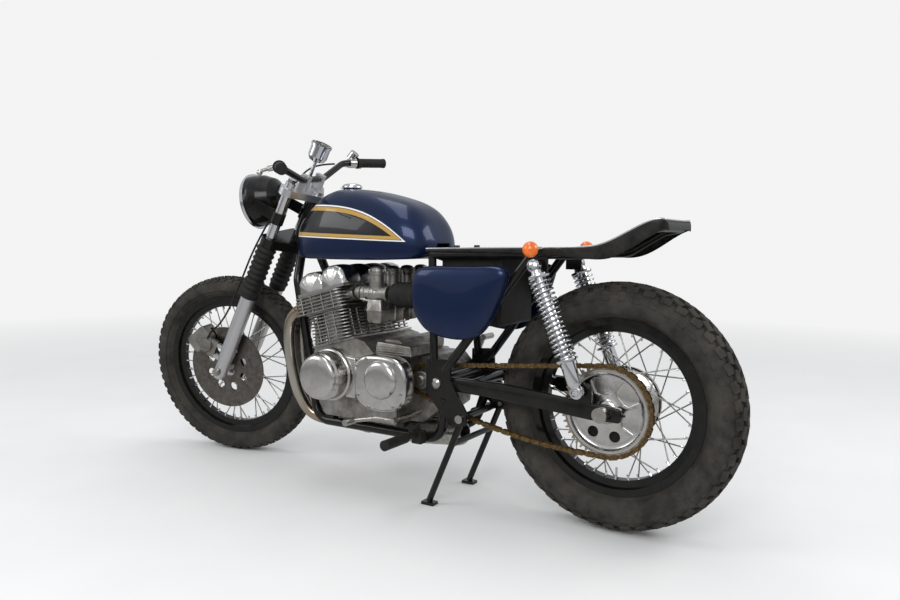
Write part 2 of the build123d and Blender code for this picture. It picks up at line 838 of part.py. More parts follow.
# Engine: crankcase, with a shelf behind it on the left that the chain and its sprocket run in
deck_rear = (crank_x - 98 * tilt_cos + barrel_z * tilt_sin, crank_z + 98 * tilt_sin + barrel_z * tilt_cos)
deck_front = (crank_x + 72 * tilt_cos + barrel_z * tilt_sin, crank_z - 72 * tilt_sin + barrel_z * tilt_cos)
case_waist_x = -88
case_neck = 74
with BuildPart() as crankcase:
    front_outline = [
        deck_rear,
        deck_front,
        (238, 404),
        (236, 330),
        (212, 262),
        (186, case_low),
        (case_waist_x, case_low),
        (case_waist_x, 436),
        (-6, 436),
        (34, 474),
    ]
    plate(front_outline, -case_half, case_half, corner=8)
    rear_outline = [
        (case_waist_x + 20, 435),
        (case_waist_x + 20, case_low + 1),
        (-130, case_low + 1),
        (-184, 272),
        (-192, 330),
        (-190, 404),
        (-160, 435),
    ]
    plate(rear_outline, -case_half + 26, case_neck, corner=7)
    rod((crank_x, -case_half - 22, crank_z), (crank_x, case_half + 22, crank_z), 80)
    rod((sprocket_x, case_neck - 2, sprocket_z), (sprocket_x, chain_y + 10, sprocket_z), 12)
    with BuildSketch(Plane.XZ.offset(-case_half + 40), mode=Mode.PRIVATE) as starter:
        with Locations((-44, 458)):
            RectangleRounded(70, 48, 16)
    extrude(starter.sketch, amount=2 * case_half - 60)
keep(crankcase, "crankcase")

with BuildPart() as oil_filter:
    turned([(0, 0), (39, 0), (39, 34), (34, 42), (10, 44), (10, 50), (0, 50)], (237, 0, 318), (1, 0, 0))
keep(oil_filter, "oil_filter")

with BuildPart() as left_covers:
    turned(
        [(0, 0), (82, 0), (82, 18), (76, 22), (74, 62), (66, 78), (52, 84), (44, 84), (42, 80), (0, 80)],
        (crank_x, case_half + 22 + seat_gap, crank_z),
        (0, 1, 0),
    )
    plate(
        [(-156, 330), (-120, 288), (-20, 276), (30, 316), (34, 420), (-10, 446), (-120, 440), (-154, 410)],
        case_half + seat_gap,
        204,
        corner=22,
    )
    turned([(0, 0), (56, 0), (54, 10), (46, 14), (0, 16)], (-66, 203, 374), (0, 1, 0))
keep(left_covers, "left_engine_covers")

with BuildPart() as right_covers:
    turned(
        [(0, 0), (70, 0), (70, 10), (58, 16), (54, 34), (46, 40), (0, 42)],
        (crank_x, -case_half - 22 - seat_gap, crank_z),
        (0, -1, 0),
    )
    turned(
        [(0, 0), (80, 0), (80, 28), (74, 46), (56, 56), (36, 60), (0, 62)],
        (-24, -case_half - seat_gap, 356),
        (0, -1, 0),
    )
keep(right_covers, "right_engine_covers")

# Cylinders, head and cam cover, in the cylinders' own frame
fin_lows = [barrel_z + 10 + fin_pitch * k for k in range(barrel_fins - 1)]
head_z = barrel_z + 102
with BuildPart() as cylinder_block:
    base = barrel_z + seat_gap
    with BuildSketch(Plane.XY.offset(base)):
        with Locations([(-12, y) for y in bore_ys]):
            Circle(39)
        make_hull()
    extrude(amount=head_z - seat_gap - base)
    for z in fin_lows:
        with BuildSketch(Plane.XY.offset(z)):
            with Locations([(-12, y) for y in bore_ys]):
                RectangleRounded(160, cylinder_pitch + 22, 30)
        extrude(amount=fin_t)
    block((-98, -case_half - 8, base), (72, case_half + 8, base + 6))
keep(cylinder_block, "cylinder_block", at_cylinders)

with BuildPart() as cylinder_head:
    with BuildSketch(Plane.XY.offset(head_z)):
        RectangleRounded(150, 326, 20)
    extrude(amount=62)
    for k in range(head_fins):
        z = head_z + 4 + fin_pitch * k
        with BuildSketch(Plane.XY.offset(z)):
            RectangleRounded(212 - 5 * k, 368, 26)
        extrude(amount=fin_t)
    for y in bore_ys:
        rod((50, y, head_z + 32), (112, y, head_z + 32), 25)
        rod((-60, y, head_z + 36), (-118, y, head_z + 36), 24)
keep(cylinder_head, "cylinder_head", at_cylinders)

cam_z = head_z + 62 + seat_gap
with BuildPart() as cam_cover:
    roof = [
        (72, cam_z),
        (66, cam_z + 20),
        (-8, cam_z + 72),
        (-70, cam_z + 68),
        (-112, cam_z + 20),
        (-112, cam_z),
    ]
    plate(roof, -172, 172, corner=6)
    for y in bore_ys:
        rod((24, y, cam_z + 20), (54, y, cam_z + 62), 19)
        rod((-70, y, cam_z + 20), (-110, y, cam_z + 50), 19)
keep(cam_cover, "cam_cover", at_cylinders)

# Carburettors and their pod filters
carb_z = 622
with BuildPart() as carburettors:
    for y in bore_ys:
        rod((79.8, y, carb_z), (-54, y, carb_z), 21)
        rod((8, y, carb_z - 2), (8, y, 690), 23)
        rod((8, y, 690), (8, y, 706), 18)
        block((-26, y - 26, 530), (38, y + 26, 592))
        rod((8, y, 590), (8, y, 624), 24)
    rod((30, bore_ys[0], 640), (30, bore_ys[-1], 640), 6)
keep(carburettors, "carburettors")

with BuildPart() as pod_filters:
    for y in bore_ys:
        shape = [(0, -6), (31, -6), (31, 8), (38, 12)]
        for k in range(6):
            shape += [(38, 14 + 10 * k), (35, 19 + 10 * k)]
        shape += [(38, 76), (34, 84), (0, 84)]
        turned(shape, (-60.5, y, carb_z), (-1, 0, 0))
        rod((-56, y, carb_z), (-48, y, carb_z), 21 + seat_gap, mode=Mode.SUBTRACT)
keep(pod_filters, "pod_filters")

# Exhaust: four headers into a short silencer under the engine
pipe_r = 19
header_z = 190
with BuildPart() as exhaust_headers:
    for y in bore_ys:
        mouth = at_cylinders * Location((112 + seat_gap, y, head_z + 32))
        bend = at_cylinders * Location((160, y, head_z + 32))
        low_y = y / 2
        tube(
            [
                tuple(mouth.position),
                tuple(bend.position),
                (344, y, 262),
                (300, low_y, header_z),
                (76, low_y, header_z),
            ],
            [34, 60, 50],
            pipe_r,
        )
        rod(mouth.position, tuple(Vector(*mouth.position) + Vector(8 * tilt_cos, 0, -8 * tilt_sin)), 27)
    block((66, -80, header_z - 20), (96, 80, header_z + 20))
keep(exhaust_headers, "exhaust_headers")

with BuildPart() as silencer:
    with BuildSketch(Plane(origin=(65.7, 0, header_z), x_dir=(0, 1, 0), z_dir=(-1, 0, 0))):
        RectangleRounded(160, 40, 18)
    with BuildSketch(Plane(origin=(-30, 0, 178), x_dir=(0, 1, 0), z_dir=(-1, 0, 0))):
        Circle(30)
    loft()
    can = [
        (0, -6),
        (30, -6),
        (34, 6),
        (39, 24),
        (39, 190),
        (35, 204),
        (31, 210),
        (27, 210),
        (27, 120),
        (0, 120),
    ]
    turned(can, (-30, 0, 177), (-1, 0, 0.1))
keep(silencer, "silencer")

with BuildPart() as front_sprocket:
    add_sprocket(front_teeth, pinion_r, 12 + pin_gap, sprocket_t)

# Chain: pins one pitch apart round both sprockets, straight along the top and sagging below
seat_step = 360 / rear_teeth
low_seat = 37
high_seat = 11
pins = []
for k in range(low_seat, high_seat - 1, -1):
    angle = radians(seat_step * k)
    pins.append((rear_x + sprocket_r * cos(angle), rear_z + sprocket_r * sin(angle)))
top_x, top_z = pins[-1]
to_front = hypot(sprocket_x - top_x, sprocket_z - top_z)
run_angle = atan2(sprocket_z - top_z, sprocket_x - top_x) + asin(pinion_r / to_front)
run_length = sqrt(to_front**2 - pinion_r**2)
run_links = int(run_length // chain_pitch)
for k in range(1, run_links + 1):
    pins.append((top_x + k * chain_pitch * cos(run_angle), top_z + k * chain_pitch * sin(run_angle)))
rest = run_length - run_links * chain_pitch
reach = hypot(rest, pinion_r)
front_angle = run_angle + radians(90) + atan2(rest, pinion_r)
front_angle -= acos((reach**2 + pinion_r**2 - chain_pitch**2) / (2 * reach * pinion_r))
pinion_phase = degrees(front_angle)
end_x, end_z = pins[0]
to_end = hypot(end_x - sprocket_x, end_z - sprocket_z)
last_angle = atan2(end_z - sprocket_z, end_x - sprocket_x) + acos(pinion_r / to_end)
while front_angle > last_angle:
    pins.append((sprocket_x + pinion_r * cos(front_angle), sprocket_z + pinion_r * sin(front_angle)))
    front_angle -= radians(360 / front_teeth)
low_x, low_z = pins[-1]
gap = hypot(end_x - low_x, end_z - low_z)
low_links = int(gap // chain_pitch) + 1
bend, bend_high = 0.0001, radians(360) / low_links
for _ in range(50):
    middle = (bend + bend_high) / 2
    if sin(low_links * middle / 2) / sin(middle / 2) > gap / chain_pitch:
        bend = middle
    else:
        bend_high = middle
heading = atan2(end_z - low_z, end_x - low_x) + (low_links - 1) * bend / 2
for k in range(low_links - 1):
    low_x += chain_pitch * cos(heading - k * bend)
    low_z += chain_pitch * sin(heading - k * bend)
    pins.append((low_x, low_z))
print("chain links", len(pins))
front_place = Location((sprocket_x, chain_y, sprocket_z), (0, -pinion_phase, 0))
keep(front_sprocket, "front_sprocket", front_place)

inner_gap = 4.6
plate_t = 1.8
with BuildPart() as chain:
    band = []
    for offset_r in (-4.4, 4.4):
        edge = []
        for k, (x, z) in enumerate(pins):
            after, before = pins[(k + 1) % len(pins)], pins[k - 1]
            length = hypot(after[0] - before[0], after[1] - before[1])
            normal_x, normal_z = (after[1] - before[1]) / length, (before[0] - after[0]) / length
            edge.append((x + offset_r * normal_x, z + offset_r * normal_z))
        band.append(edge)
    for y_from in (chain_y - inner_gap - plate_t, chain_y + inner_gap):
        with BuildSketch(Plane.XZ.offset(-y_from - plate_t), mode=Mode.PRIVATE) as strip:
            for edge, mode in zip(band, (Mode.ADD, Mode.SUBTRACT)):
                with BuildLine():
                    Polyline(*edge, close=True)
                make_face(mode=mode)
        extrude(strip.sketch, amount=plate_t)
    for y_from in (chain_y - inner_gap - 2 * plate_t, chain_y + inner_gap + plate_t - 0.4):
        with BuildSketch(Plane.XZ.offset(-y_from - plate_t - 0.4), mode=Mode.PRIVATE) as links:
            for k in range(0, len(pins), 2):
                (x, z), (far_x, far_z) = pins[k], pins[(k + 1) % len(pins)]
                turn = degrees(atan2(far_z - z, far_x - x))
                with Locations(Location(((x + far_x) / 2, (z + far_z) / 2), turn)):
                    Polygon((-14, 0), (-11, -6), (11, -6), (14, 0), (11, 6), (-11, 6), align=None)
        extrude(links.sketch, amount=plate_t + 0.4)
    with Locations([Location((x, chain_y, z), (0, 45, 0)) for x, z in pins[::2]]):
        Box(5.6, 2 * inner_gap + plate_t, 5.6)
keep(chain, "chain")

# Swingarm, its bolt, the rear axle and the brake plate
arm_in = 107.5
arm_out = 128.5
with BuildPart() as swingarm:
    rod((pivot_x, -129.5, pivot_z), (pivot_x, 129.5, pivot_z), 20)
    rod((-308, -arm_out + 6, 370), (-308, arm_out - 6, 370), 15)
    for low, high in ((arm_in, arm_out), (-arm_out, -arm_in)):
        plate(
            [
                (pivot_x, pivot_z + 20),
                (-420, 392),
                (-640, 372),
                (-692, 366),
                (-770, 362),
                (-770, 322),
                (-690, 322),
                (-420, 344),
                (pivot_x, pivot_z - 20),
            ],
            low,
            high,
            corner=4,
        )
        horn = [
            (-690, 350),
            (-686, shock_low_z),
            (-670, shock_low_z + 14),
            (-650, shock_low_z + 12),
            (-636, 360),
        ]
        plate(horn, low, high)
        slot_half = rear_axle_r + pin_gap
        slot_corner = (rear_x - 24, low - 1, rear_z - slot_half)
        far_corner = (rear_x + 18, high + 1, rear_z + slot_half)
        block(slot_corner, far_corner, mode=Mode.SUBTRACT)
        start, end = (arm_out - 2, shock_y + 20) if low > 0 else (-arm_out + 2, -shock_y - 20)
        rod((shock_low_x, start, shock_low_z), (shock_low_x, end, shock_low_z), pivot_bolt_r)
    rod((pivot_x, -131, pivot_z), (pivot_x, 131, pivot_z), pivot_bolt_r + pin_gap, mode=Mode.SUBTRACT)
keep(swingarm, "swingarm")

with BuildPart() as frame_bolts:
    rod((pivot_x, -148, pivot_z), (pivot_x, 148, pivot_z), pivot_bolt_r)
    for side in (1, -1):
        turned([(0, 0), (17, 0), (15, 8), (8, 13), (0, 14)], (pivot_x, side * 138.3, pivot_z), (0, side, 0))
        rod((stand_x, side * 108, stand_z), (stand_x, side * 146, stand_z), stand_bolt_r)
        rod((stand_x, side * 138.3, stand_z), (stand_x, side * 146, stand_z), 12)
keep(frame_bolts, "frame_bolts")

with BuildPart() as rear_axle:
    rod((rear_x, -146, rear_z), (rear_x, 146, rear_z), rear_axle_r)
    for low, high, radius in (
        (100.3, arm_in - seat_gap, 15),
        (arm_out + seat_gap, 150, 20),
        (-143, -arm_out - seat_gap, 16),
        (-arm_in + seat_gap, -85, 15),
    ):
        rod((rear_x, low, rear_z), (rear_x, high, rear_z), radius)
keep(rear_axle, "rear_axle")

with BuildPart() as rear_brake_plate:
    dish = [
        (rear_axle_r + pin_gap, 0),
        (94, 0),
        (98, 4),
        (94, 8),
        (40, 13),
        (rear_axle_r + pin_gap, 13),
    ]
    turned(dish, (rear_x, -71, rear_z), (0, -1, 0))
    rod((rear_x + 60, -80, rear_z - 50), (rear_x + 60, -104, rear_z - 50), 8)
    rod((rear_x + 60, -94, rear_z - 50), (-420, -96, 318), 7)
keep(rear_brake_plate, "rear_brake_plate")

# Shock absorbers
shock_low = Vector(shock_low_x, 0, shock_low_z)
shock_top = Vector(shock_top_x, 0, shock_top_z)
shock_dir = (shock_top - shock_low).normalized()
shock_length = (shock_top - shock_low).length
spring_foot = 50
spring_head = shock_length - 58
# from, to, radius of each step of a damper, measured up from its lower eye
damper_steps = [
    (12, 36, 17),
    (36, spring_foot, 33),
    (spring_foot, 190, 21),
    (190, spring_head, 7),
    (spring_head, spring_head + 20, 33),
    (spring_head + 20, shock_length - 12, 19),
]
with BuildPart() as shock_dampers:
    for side in (1, -1):
        foot = Vector(shock_low_x, side * shock_y, shock_low_z)
        for low, high, radius in damper_steps:
            rod(foot + shock_dir * low, foot + shock_dir * high, radius)
        for x, z in ((shock_low_x, shock_low_z), (shock_top_x, shock_top_z)):
            rod((x, side * shock_y - 12, z), (x, side * shock_y + 12, z), 18)
            inner_y, outer_y = side * shock_y - 24, side * shock_y + 24
            rod((x, inner_y, z), (x, outer_y, z), pivot_bolt_r + pin_gap, mode=Mode.SUBTRACT)
keep(shock_dampers, "shock_dampers")

with BuildPart() as shock_springs:
    coils = 11
    wire_r = 4.2
    spring_low = spring_foot + wire_r + seat_gap
    spring_high = spring_head - wire_r - seat_gap
    for side in (1, -1):
        foot = Vector(shock_low_x, side * shock_y, shock_low_z)
        ring = Plane(origin=foot, z_dir=shock_dir)
        with BuildLine(mode=Mode.PRIVATE) as coil:
            Helix(pitch=(spring_high - spring_low) / coils, height=spring_high - spring_low, radius=28)
        path = ring.location * Location((0, 0, spring_low)) * coil.line
        with BuildSketch(Plane(path @ 0, z_dir=path % 0), mode=Mode.PRIVATE) as wire:
            RegularPolygon(wire_r, 8)
        sweep(wire.sketch, path=path, is_frenet=True)
keep(shock_springs, "shock_springs")

# Centre stand
stand_cross = 90
with BuildPart() as centre_stand:
    leg_dir = (Vector(stand_foot_x, 0, 10) - Vector(stand_x, 0, stand_z)).normalized()
    for side in (1, -1):
        y = side * stand_leg_y
        rod((stand_x, y - 10.2, stand_z), (stand_x, y + 10.2, stand_z), 15)
        rod((stand_x, y, stand_z), (stand_foot_x, y, 10), stand_leg_r)
        block((stand_foot_x - 22, y - 14, 0), (stand_foot_x + 20, y + 14, 9))
        stand_bore_r = stand_bolt_r + run_gap
        rod((stand_x, y - 11, stand_z), (stand_x, y + 11, stand_z), stand_bore_r, mode=Mode.SUBTRACT)
    cross = Vector(stand_x, 0, stand_z) + leg_dir * stand_cross
    rod((cross.X, -stand_leg_y, cross.Z), (cross.X, stand_leg_y, cross.Z), 9)
keep(centre_stand, "centre_stand")

# Footpegs, pedals, indicators and the box under the seat
with BuildPart() as footpegs:
    for side in (1, -1):
        y = side * (cradle_y + cradle_r + seat_gap)
        low, high = sorted((y, side * 146))
        block((-172, low, 184), (-140, high, 222))
        rod((-156, side * 140, 214), (-156, side * 205, 214), 9)
        rod((-156, side * 200, 214), (-156, side * 306, 214), 15)
keep(footpegs, "footpegs")

case_right = -case_half + 26 - seat_gap
with BuildPart() as foot_levers:
    rod((-120, case_neck + seat_gap, 262), (-120, 218, 262), 7)
    tube([(-120, 212, 262), (-60, 214, 262), (20, 222, 246)], [50], 6.5)
    rod((20, 216, 246), (20, 262, 246), 10)
    rod((-112, case_right, 258), (-112, -218, 258), 7)
    tube([(-112, -212, 258), (-60, -216, 250), (24, -224, 246)], [50], 6.5)
    block((8, -262, 240), (44, -218, 252))
    rod((-152, case_right, 322), (-152, -196, 322), 10)
    tube([(-152, -190, 322), (-160, -200, 400), (-178, -222, 470)], [60], 8)
    rod((-178, -216, 466), (-178, -276, 466), 10)
keep(foot_levers, "foot_levers")

with BuildPart() as rear_indicators:
    for side in (1, -1):
        y = side * (pan_y + pan_t + seat_gap)
        rod((-541, y, 766), (-541, side * 186, 766), 7)
        with Locations((-541, side * 196, 766)):
            Sphere(21)
keep(rear_indicators, "rear_indicators")

with BuildPart() as battery_box:
    block((-408, -97.7, 545), (-212, 97.7, 742))
    fillet(edges().filter_by(Axis.Y), radius=10)
keep(battery_box, "battery_box")
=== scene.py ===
"""Looks of a cafe racer motorcycle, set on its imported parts. Lengths are metres unless a name says otherwise."""

import math

import bpy
from mathutils import Matrix, Vector


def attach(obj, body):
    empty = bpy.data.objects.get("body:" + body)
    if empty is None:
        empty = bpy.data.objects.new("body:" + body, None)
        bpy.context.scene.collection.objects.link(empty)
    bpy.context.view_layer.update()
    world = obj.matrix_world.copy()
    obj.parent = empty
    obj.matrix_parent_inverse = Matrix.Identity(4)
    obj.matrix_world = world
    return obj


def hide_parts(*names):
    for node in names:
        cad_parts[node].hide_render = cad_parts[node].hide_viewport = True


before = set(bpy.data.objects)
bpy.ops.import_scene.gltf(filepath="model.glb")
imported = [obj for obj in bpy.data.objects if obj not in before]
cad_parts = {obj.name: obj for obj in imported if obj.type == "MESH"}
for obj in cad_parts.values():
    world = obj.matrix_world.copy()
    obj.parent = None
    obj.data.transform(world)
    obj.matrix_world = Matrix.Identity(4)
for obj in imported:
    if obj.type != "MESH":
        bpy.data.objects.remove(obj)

bl_info = {
    "name": "Cafe racer looks",
    "version": (1, 0, 0),
    "blender": (4, 5, 0),
    "location": "View3D > Sidebar > Racer",
    "description": "Finishes, tread, dials, bolts and studio of a cafe racer motorcycle",
    "category": "Object",
}

RAKE = math.radians(27.5)
TURN = math.radians(14.2)
FORK_OFFSET = 0.060
REAR_AXLE = Vector((-0.721, 0.0, 0.343))
FRONT_STRAIGHT = Vector((0.734, 0.0, 0.325))
STEER_AXIS = Vector((-math.sin(RAKE), 0.0, math.cos(RAKE)))
STEER_FOOT = FRONT_STRAIGHT - Vector((math.cos(RAKE), 0.0, math.sin(RAKE))) * FORK_OFFSET
TURNED = (
    Matrix.Translation(STEER_FOOT) @ Matrix.Rotation(TURN, 4, STEER_AXIS) @ Matrix.Translation(-STEER_FOOT)
)
# Takes the steering's own coordinates, as the CAD uses them, to the machine's
STEERING = TURNED @ Matrix.Translation(STEER_FOOT) @ Matrix.Rotation(-RAKE, 4, "Y")
FRONT_WHEEL = TURNED @ Matrix.Translation(FRONT_STRAIGHT)
REAR_WHEEL = Matrix.Translation(REAR_AXLE)
CYLINDERS = Matrix.Translation((0.140, 0.0, 0.368)) @ Matrix.Rotation(math.radians(15), 4, "Y")


class RacerSettings(bpy.types.PropertyGroup):
    """The values that change how the machine looks."""

    paint: bpy.props.FloatVectorProperty(name="Paint", subtype="COLOR", size=3, default=(0.005, 0.014, 0.052))
    gold: bpy.props.FloatVectorProperty(name="Gold band", subtype="COLOR", size=3, default=(0.42, 0.25, 0.06))
    rear_blocks: bpy.props.IntProperty(name="Rear tread blocks a row", default=44, min=12, max=90)
    front_blocks: bpy.props.IntProperty(name="Front tread blocks a row", default=64, min=12, max=120)
    dust: bpy.props.FloatProperty(name="Dust", default=0.7, min=0.0, max=1.0)


# Small helpers for materials
def begin(name):
    """A new node material and its tree and shader."""
    made = bpy.data.materials.new(name)
    made.use_nodes = True
    return made, made.node_tree, made.node_tree.nodes["Principled BSDF"]


def feed(tree, made, values):
    """Sets a node's inputs to numbers or links them to other nodes' outputs."""
    for key, value in values.items():
        if isinstance(value, bpy.types.NodeSocket):
            tree.links.new(value, made.inputs[key])
        else:
            made.inputs[key].default_value = value


def node(tree, kind, values=None, **settings):
    """Adds a node with its settings and feeds its inputs."""
    made = tree.nodes.new(kind)
    for key, value in settings.items():
        setattr(made, key, value)
    feed(tree, made, values or {})
    return made


def sums(tree, operation, first, second=0.0, third=None):
    """The output of a math node."""
    values = {0: first, 1: second}
    if third is not None:
        values[2] = third
    return node(tree, "ShaderNodeMath", values, operation=operation).outputs[0]


def spot(tree, stretch=(1, 1, 1)):
    """Object coordinates, stretched."""
    place = node(tree, "ShaderNodeTexCoord")
    return node(tree, "ShaderNodeMapping", {"Vector": place.outputs["Object"], "Scale": stretch}).outputs[0]


def noise(tree, vector, scale, detail=4.0, rough=0.5):
    """The value of a noise texture."""
    return node(
        tree, "ShaderNodeTexNoise", {"Vector": vector, "Scale": scale, "Detail": detail, "Roughness": rough}
    ).outputs["Fac"]


def spread(tree, value, low, high, to_low, to_high):
    """A value mapped from one range to another and kept inside it."""
    return node(
        tree,
        "ShaderNodeMapRange",
        {"Value": value, "From Min": low, "From Max": high, "To Min": to_low, "To Max": to_high},
    ).outputs[0]


def mix(tree, share, first, second):
    """Two colours mixed."""
    first, second = (c if isinstance(c, bpy.types.NodeSocket) else (*c, 1.0) for c in (first, second))
    return node(tree, "ShaderNodeMix", {0: share, 6: first, 7: second}, data_type="RGBA").outputs[2]


def split(tree, vector):
    """The x, y and z of a vector."""
    return node(tree, "ShaderNodeSeparateXYZ", {"Vector": vector}).outputs


def bump(tree, shader, height, distance, strength=1.0):
    """Joins a bump to the shader's normal."""
    made = node(tree, "ShaderNodeBump", {"Height": height, "Distance": distance, "Strength": strength})
    tree.links.new(made.outputs[0], shader.inputs["Normal"])


def finish(
    name, colour, metallic=0.0, rough=(0.3, 0.5), worn=None, grain=60.0, bumpy=0.0, bump_scale=400.0, coat=0.0,
    stretch=(1, 1, 1), shine=0.5,
):
    """A surface whose colour and gloss vary with a coarse noise and whose relief follows a fine one."""
    made, tree, shader = begin(name)
    at = spot(tree, stretch)
    patches = noise(tree, at, grain, 5.0, 0.6)
    second = worn or tuple(0.72 * c for c in colour)
    feed(tree, shader, {
        "Base Color": mix(tree, spread(tree, patches, 0.35, 0.7, 0.0, 1.0), colour, second),
        "Roughness": spread(tree, patches, 0.3, 0.7, *rough),
        "Metallic": metallic,
        "Specular IOR Level": shine,
        "Coat Weight": coat,
        "Coat Roughness": 0.05,
    })
    if bumpy:
        bump(tree, shader, noise(tree, at, bump_scale, 3.0), bumpy)
    return made


# The tank's black field: its tip, length and height in metres, the power that its upper edge follows, the
# rise of its lower edge, and where its white line ends and its gold band lies, counted in from the edge
TIP_X = -0.098
TIP_Z = 0.781
FIELD_LONG = 0.42
FIELD_TALL = 0.114
FIELD_CURVE = 3.3
FIELD_RISE = 0.012
LINE_END = 0.0036
BAND_START = 0.0050
BAND_END = 0.0150
LINE_WHITE = (0.75, 0.74, 0.70)
FIELD_BLACK = (0.006, 0.006, 0.008)


def car_paint(name, paint, gold, striped):
    """Blue metallic, with a black field on each side edged by a gold band and a white line where striped."""
    made, tree, shader = begin(name)
    at = spot(tree)
    parts = split(tree, at)
    flake = noise(tree, at, 2600.0, 1.0)
    cloud = noise(tree, at, 9.0, 3.0)
    blue = mix(tree, spread(tree, flake, 0.45, 0.75, 0.0, 0.5), paint, tuple(min(1.0, 2.2 * c + 0.006) for c in paint))
    blue = mix(tree, spread(tree, cloud, 0.4, 0.8, 0.0, 0.35), blue, tuple(0.5 * c for c in paint))
    feed(tree, shader, {
        "Coat Weight": 0.4,
        "Coat Roughness": 0.04,
        "Specular IOR Level": 0.25,
        "Roughness": spread(tree, cloud, 0.3, 0.8, 0.26, 0.38),
    })
    if not striped:
        feed(tree, shader, {"Base Color": blue, "Metallic": 0.55})
        return made
    # The upper edge falls in a curve to the tip, the lower edge runs nearly level
    x = sums(tree, "SUBTRACT", parts[0], TIP_X)
    share = spread(tree, x, 0.0, FIELD_LONG, 0.0, 1.0)
    rise = sums(tree, "SUBTRACT", 1.0, sums(tree, "POWER", sums(tree, "SUBTRACT", 1.0, share), FIELD_CURVE))
    upper = sums(tree, "MULTIPLY_ADD", rise, FIELD_TALL, TIP_Z)
    lower = sums(tree, "MULTIPLY_ADD", share, FIELD_RISE, TIP_Z - 0.001)
    from_top = sums(tree, "SUBTRACT", upper, parts[2])
    from_low = sums(tree, "SUBTRACT", parts[2], lower)
    inside = sums(tree, "MINIMUM", sums(tree, "MULTIPLY", from_top, 0.8), from_low)
    inside = sums(tree, "MINIMUM", inside, sums(tree, "MULTIPLY", x, 0.35))
    sideways = sums(tree, "SUBTRACT", sums(tree, "ABSOLUTE", parts[1]), 0.05)
    inside = sums(tree, "MINIMUM", inside, sideways)
    colour = mix(tree, sums(tree, "GREATER_THAN", inside, 0.0), blue, LINE_WHITE)
    colour = mix(tree, sums(tree, "GREATER_THAN", inside, LINE_END), colour, FIELD_BLACK)
    colour = mix(tree, sums(tree, "GREATER_THAN", inside, BAND_START), colour, gold)
    colour = mix(tree, sums(tree, "GREATER_THAN", inside, BAND_END), colour, FIELD_BLACK)
    outside = sums(tree, "LESS_THAN", inside, 0.0)
    feed(tree, shader, {"Base Color": colour, "Metallic": sums(tree, "MULTIPLY", outside, 0.55)})
    return made


def heat_tinted(name):
    """Header steel: bright at the collector and brown and gold near the ports."""
    made, tree, shader = begin(name)
    at = spot(tree)
    parts = split(tree, at)
    cloud = noise(tree, at, 30.0, 5.0)
    height = sums(tree, "MULTIPLY_ADD", cloud, 0.10, parts[2])
    warm = mix(tree, spread(tree, height, 0.20, 0.34, 0.0, 1.0), (0.40, 0.28, 0.15), (0.52, 0.49, 0.44))
    colour = mix(tree, spread(tree, height, 0.50, 0.64, 0.0, 1.0), warm, (0.32, 0.22, 0.13))
    feed(tree, shader, {
        "Base Color": colour, "Roughness": spread(tree, cloud, 0.3, 0.7, 0.12, 0.26), "Metallic": 1.0,
    })
    return made


def dusty_rubber(name, dust):
    """Black rubber with dust in its hollows and a fine grain."""
    made, tree, shader = begin(name)
    at = spot(tree)
    cloud = noise(tree, at, 14.0, 6.0, 0.65)
    share = spread(tree, cloud, 0.36, 0.70, 0.12, dust)
    feed(tree, shader, {
        "Base Color": mix(tree, share, (0.012, 0.0115, 0.011), (0.080, 0.072, 0.060)),
        "Roughness": spread(tree, cloud, 0.3, 0.7, 0.62, 0.9),
        "Specular IOR Level": 0.2,
    })
    bump(tree, shader, noise(tree, at, 700.0, 2.0), 0.0004, 0.6)
    return made


# How far from the machine's middle plane an indicator's lens begins
LENS_FROM = 0.1765


def indicator(name):
    """Orange lens on a pale stalk: the stalk is what lies nearer the middle of the machine."""
    made, tree, shader = begin(name)
    at = spot(tree)
    parts = split(tree, at)
    lens = sums(tree, "GREATER_THAN", sums(tree, "ABSOLUTE", parts[1]), LENS_FROM)
    cloud = noise(tree, at, 60.0)
    orange = mix(tree, spread(tree, cloud, 0.3, 0.7, 0.0, 1.0), (0.80, 0.17, 0.012), (0.62, 0.11, 0.008))
    feed(tree, shader, {
        "Base Color": mix(tree, lens, (0.45, 0.43, 0.38), orange),
        "Roughness": spread(tree, cloud, 0.3, 0.7, 0.14, 0.24),
        "Metallic": sums(tree, "SUBTRACT", 1.0, lens),
        "Coat Weight": 0.6,
    })
    return made


def ribbed_glass(name):
    """Lamp glass with upright ribs over a bright bowl."""
    made, tree, shader = begin(name)
    at = spot(tree)
    ribs = node(tree, "ShaderNodeTexWave", {"Vector": at, "Scale": 40.0}, bands_direction="Y").outputs["Fac"]
    feed(tree, shader, {
        "Base Color": (0.80, 0.84, 0.86, 1.0), "Roughness": 0.06, "Metallic": 0.25, "Coat Weight": 1.0,
    })
    bump(tree, shader, ribs, 0.0012, 0.7)
    return made


# Small helpers for pieces
def only(piece):
    """Makes one object the selected and active one."""
    bpy.ops.object.select_all(action="DESELECT")
    piece.select_set(True)
    bpy.context.view_layer.objects.active = piece


def settle(piece, matrix):
    """Moves a piece by a matrix and writes the move into its mesh."""
    bpy.context.view_layer.update()
    piece.matrix_world = matrix @ piece.matrix_world
    only(piece)
    bpy.ops.object.transform_apply(location=True, rotation=True, scale=True)


def apply_all(piece):
    """Applies every modifier on a piece."""
    only(piece)
    for modifier in list(piece.modifiers):
        bpy.ops.object.modifier_apply(modifier=modifier.name)


def join(pieces, name):
    """Joins pieces into the first one."""
    bpy.ops.object.select_all(action="DESELECT")
    for piece in pieces:
        piece.select_set(True)
    bpy.context.view_layer.objects.active = pieces[0]
    bpy.ops.object.join()
    pieces[0].name = name
    return pieces[0]


def dress(piece, finish_name, body, smooth=35.0):
    """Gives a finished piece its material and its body."""
    piece.data.materials.clear()
    piece.data.materials.append(bpy.data.materials[finish_name])
    if piece.type == "MESH":
        only(piece)
        bpy.ops.object.shade_smooth_by_angle(angle=math.radians(smooth))
    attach(piece, body)
    return piece


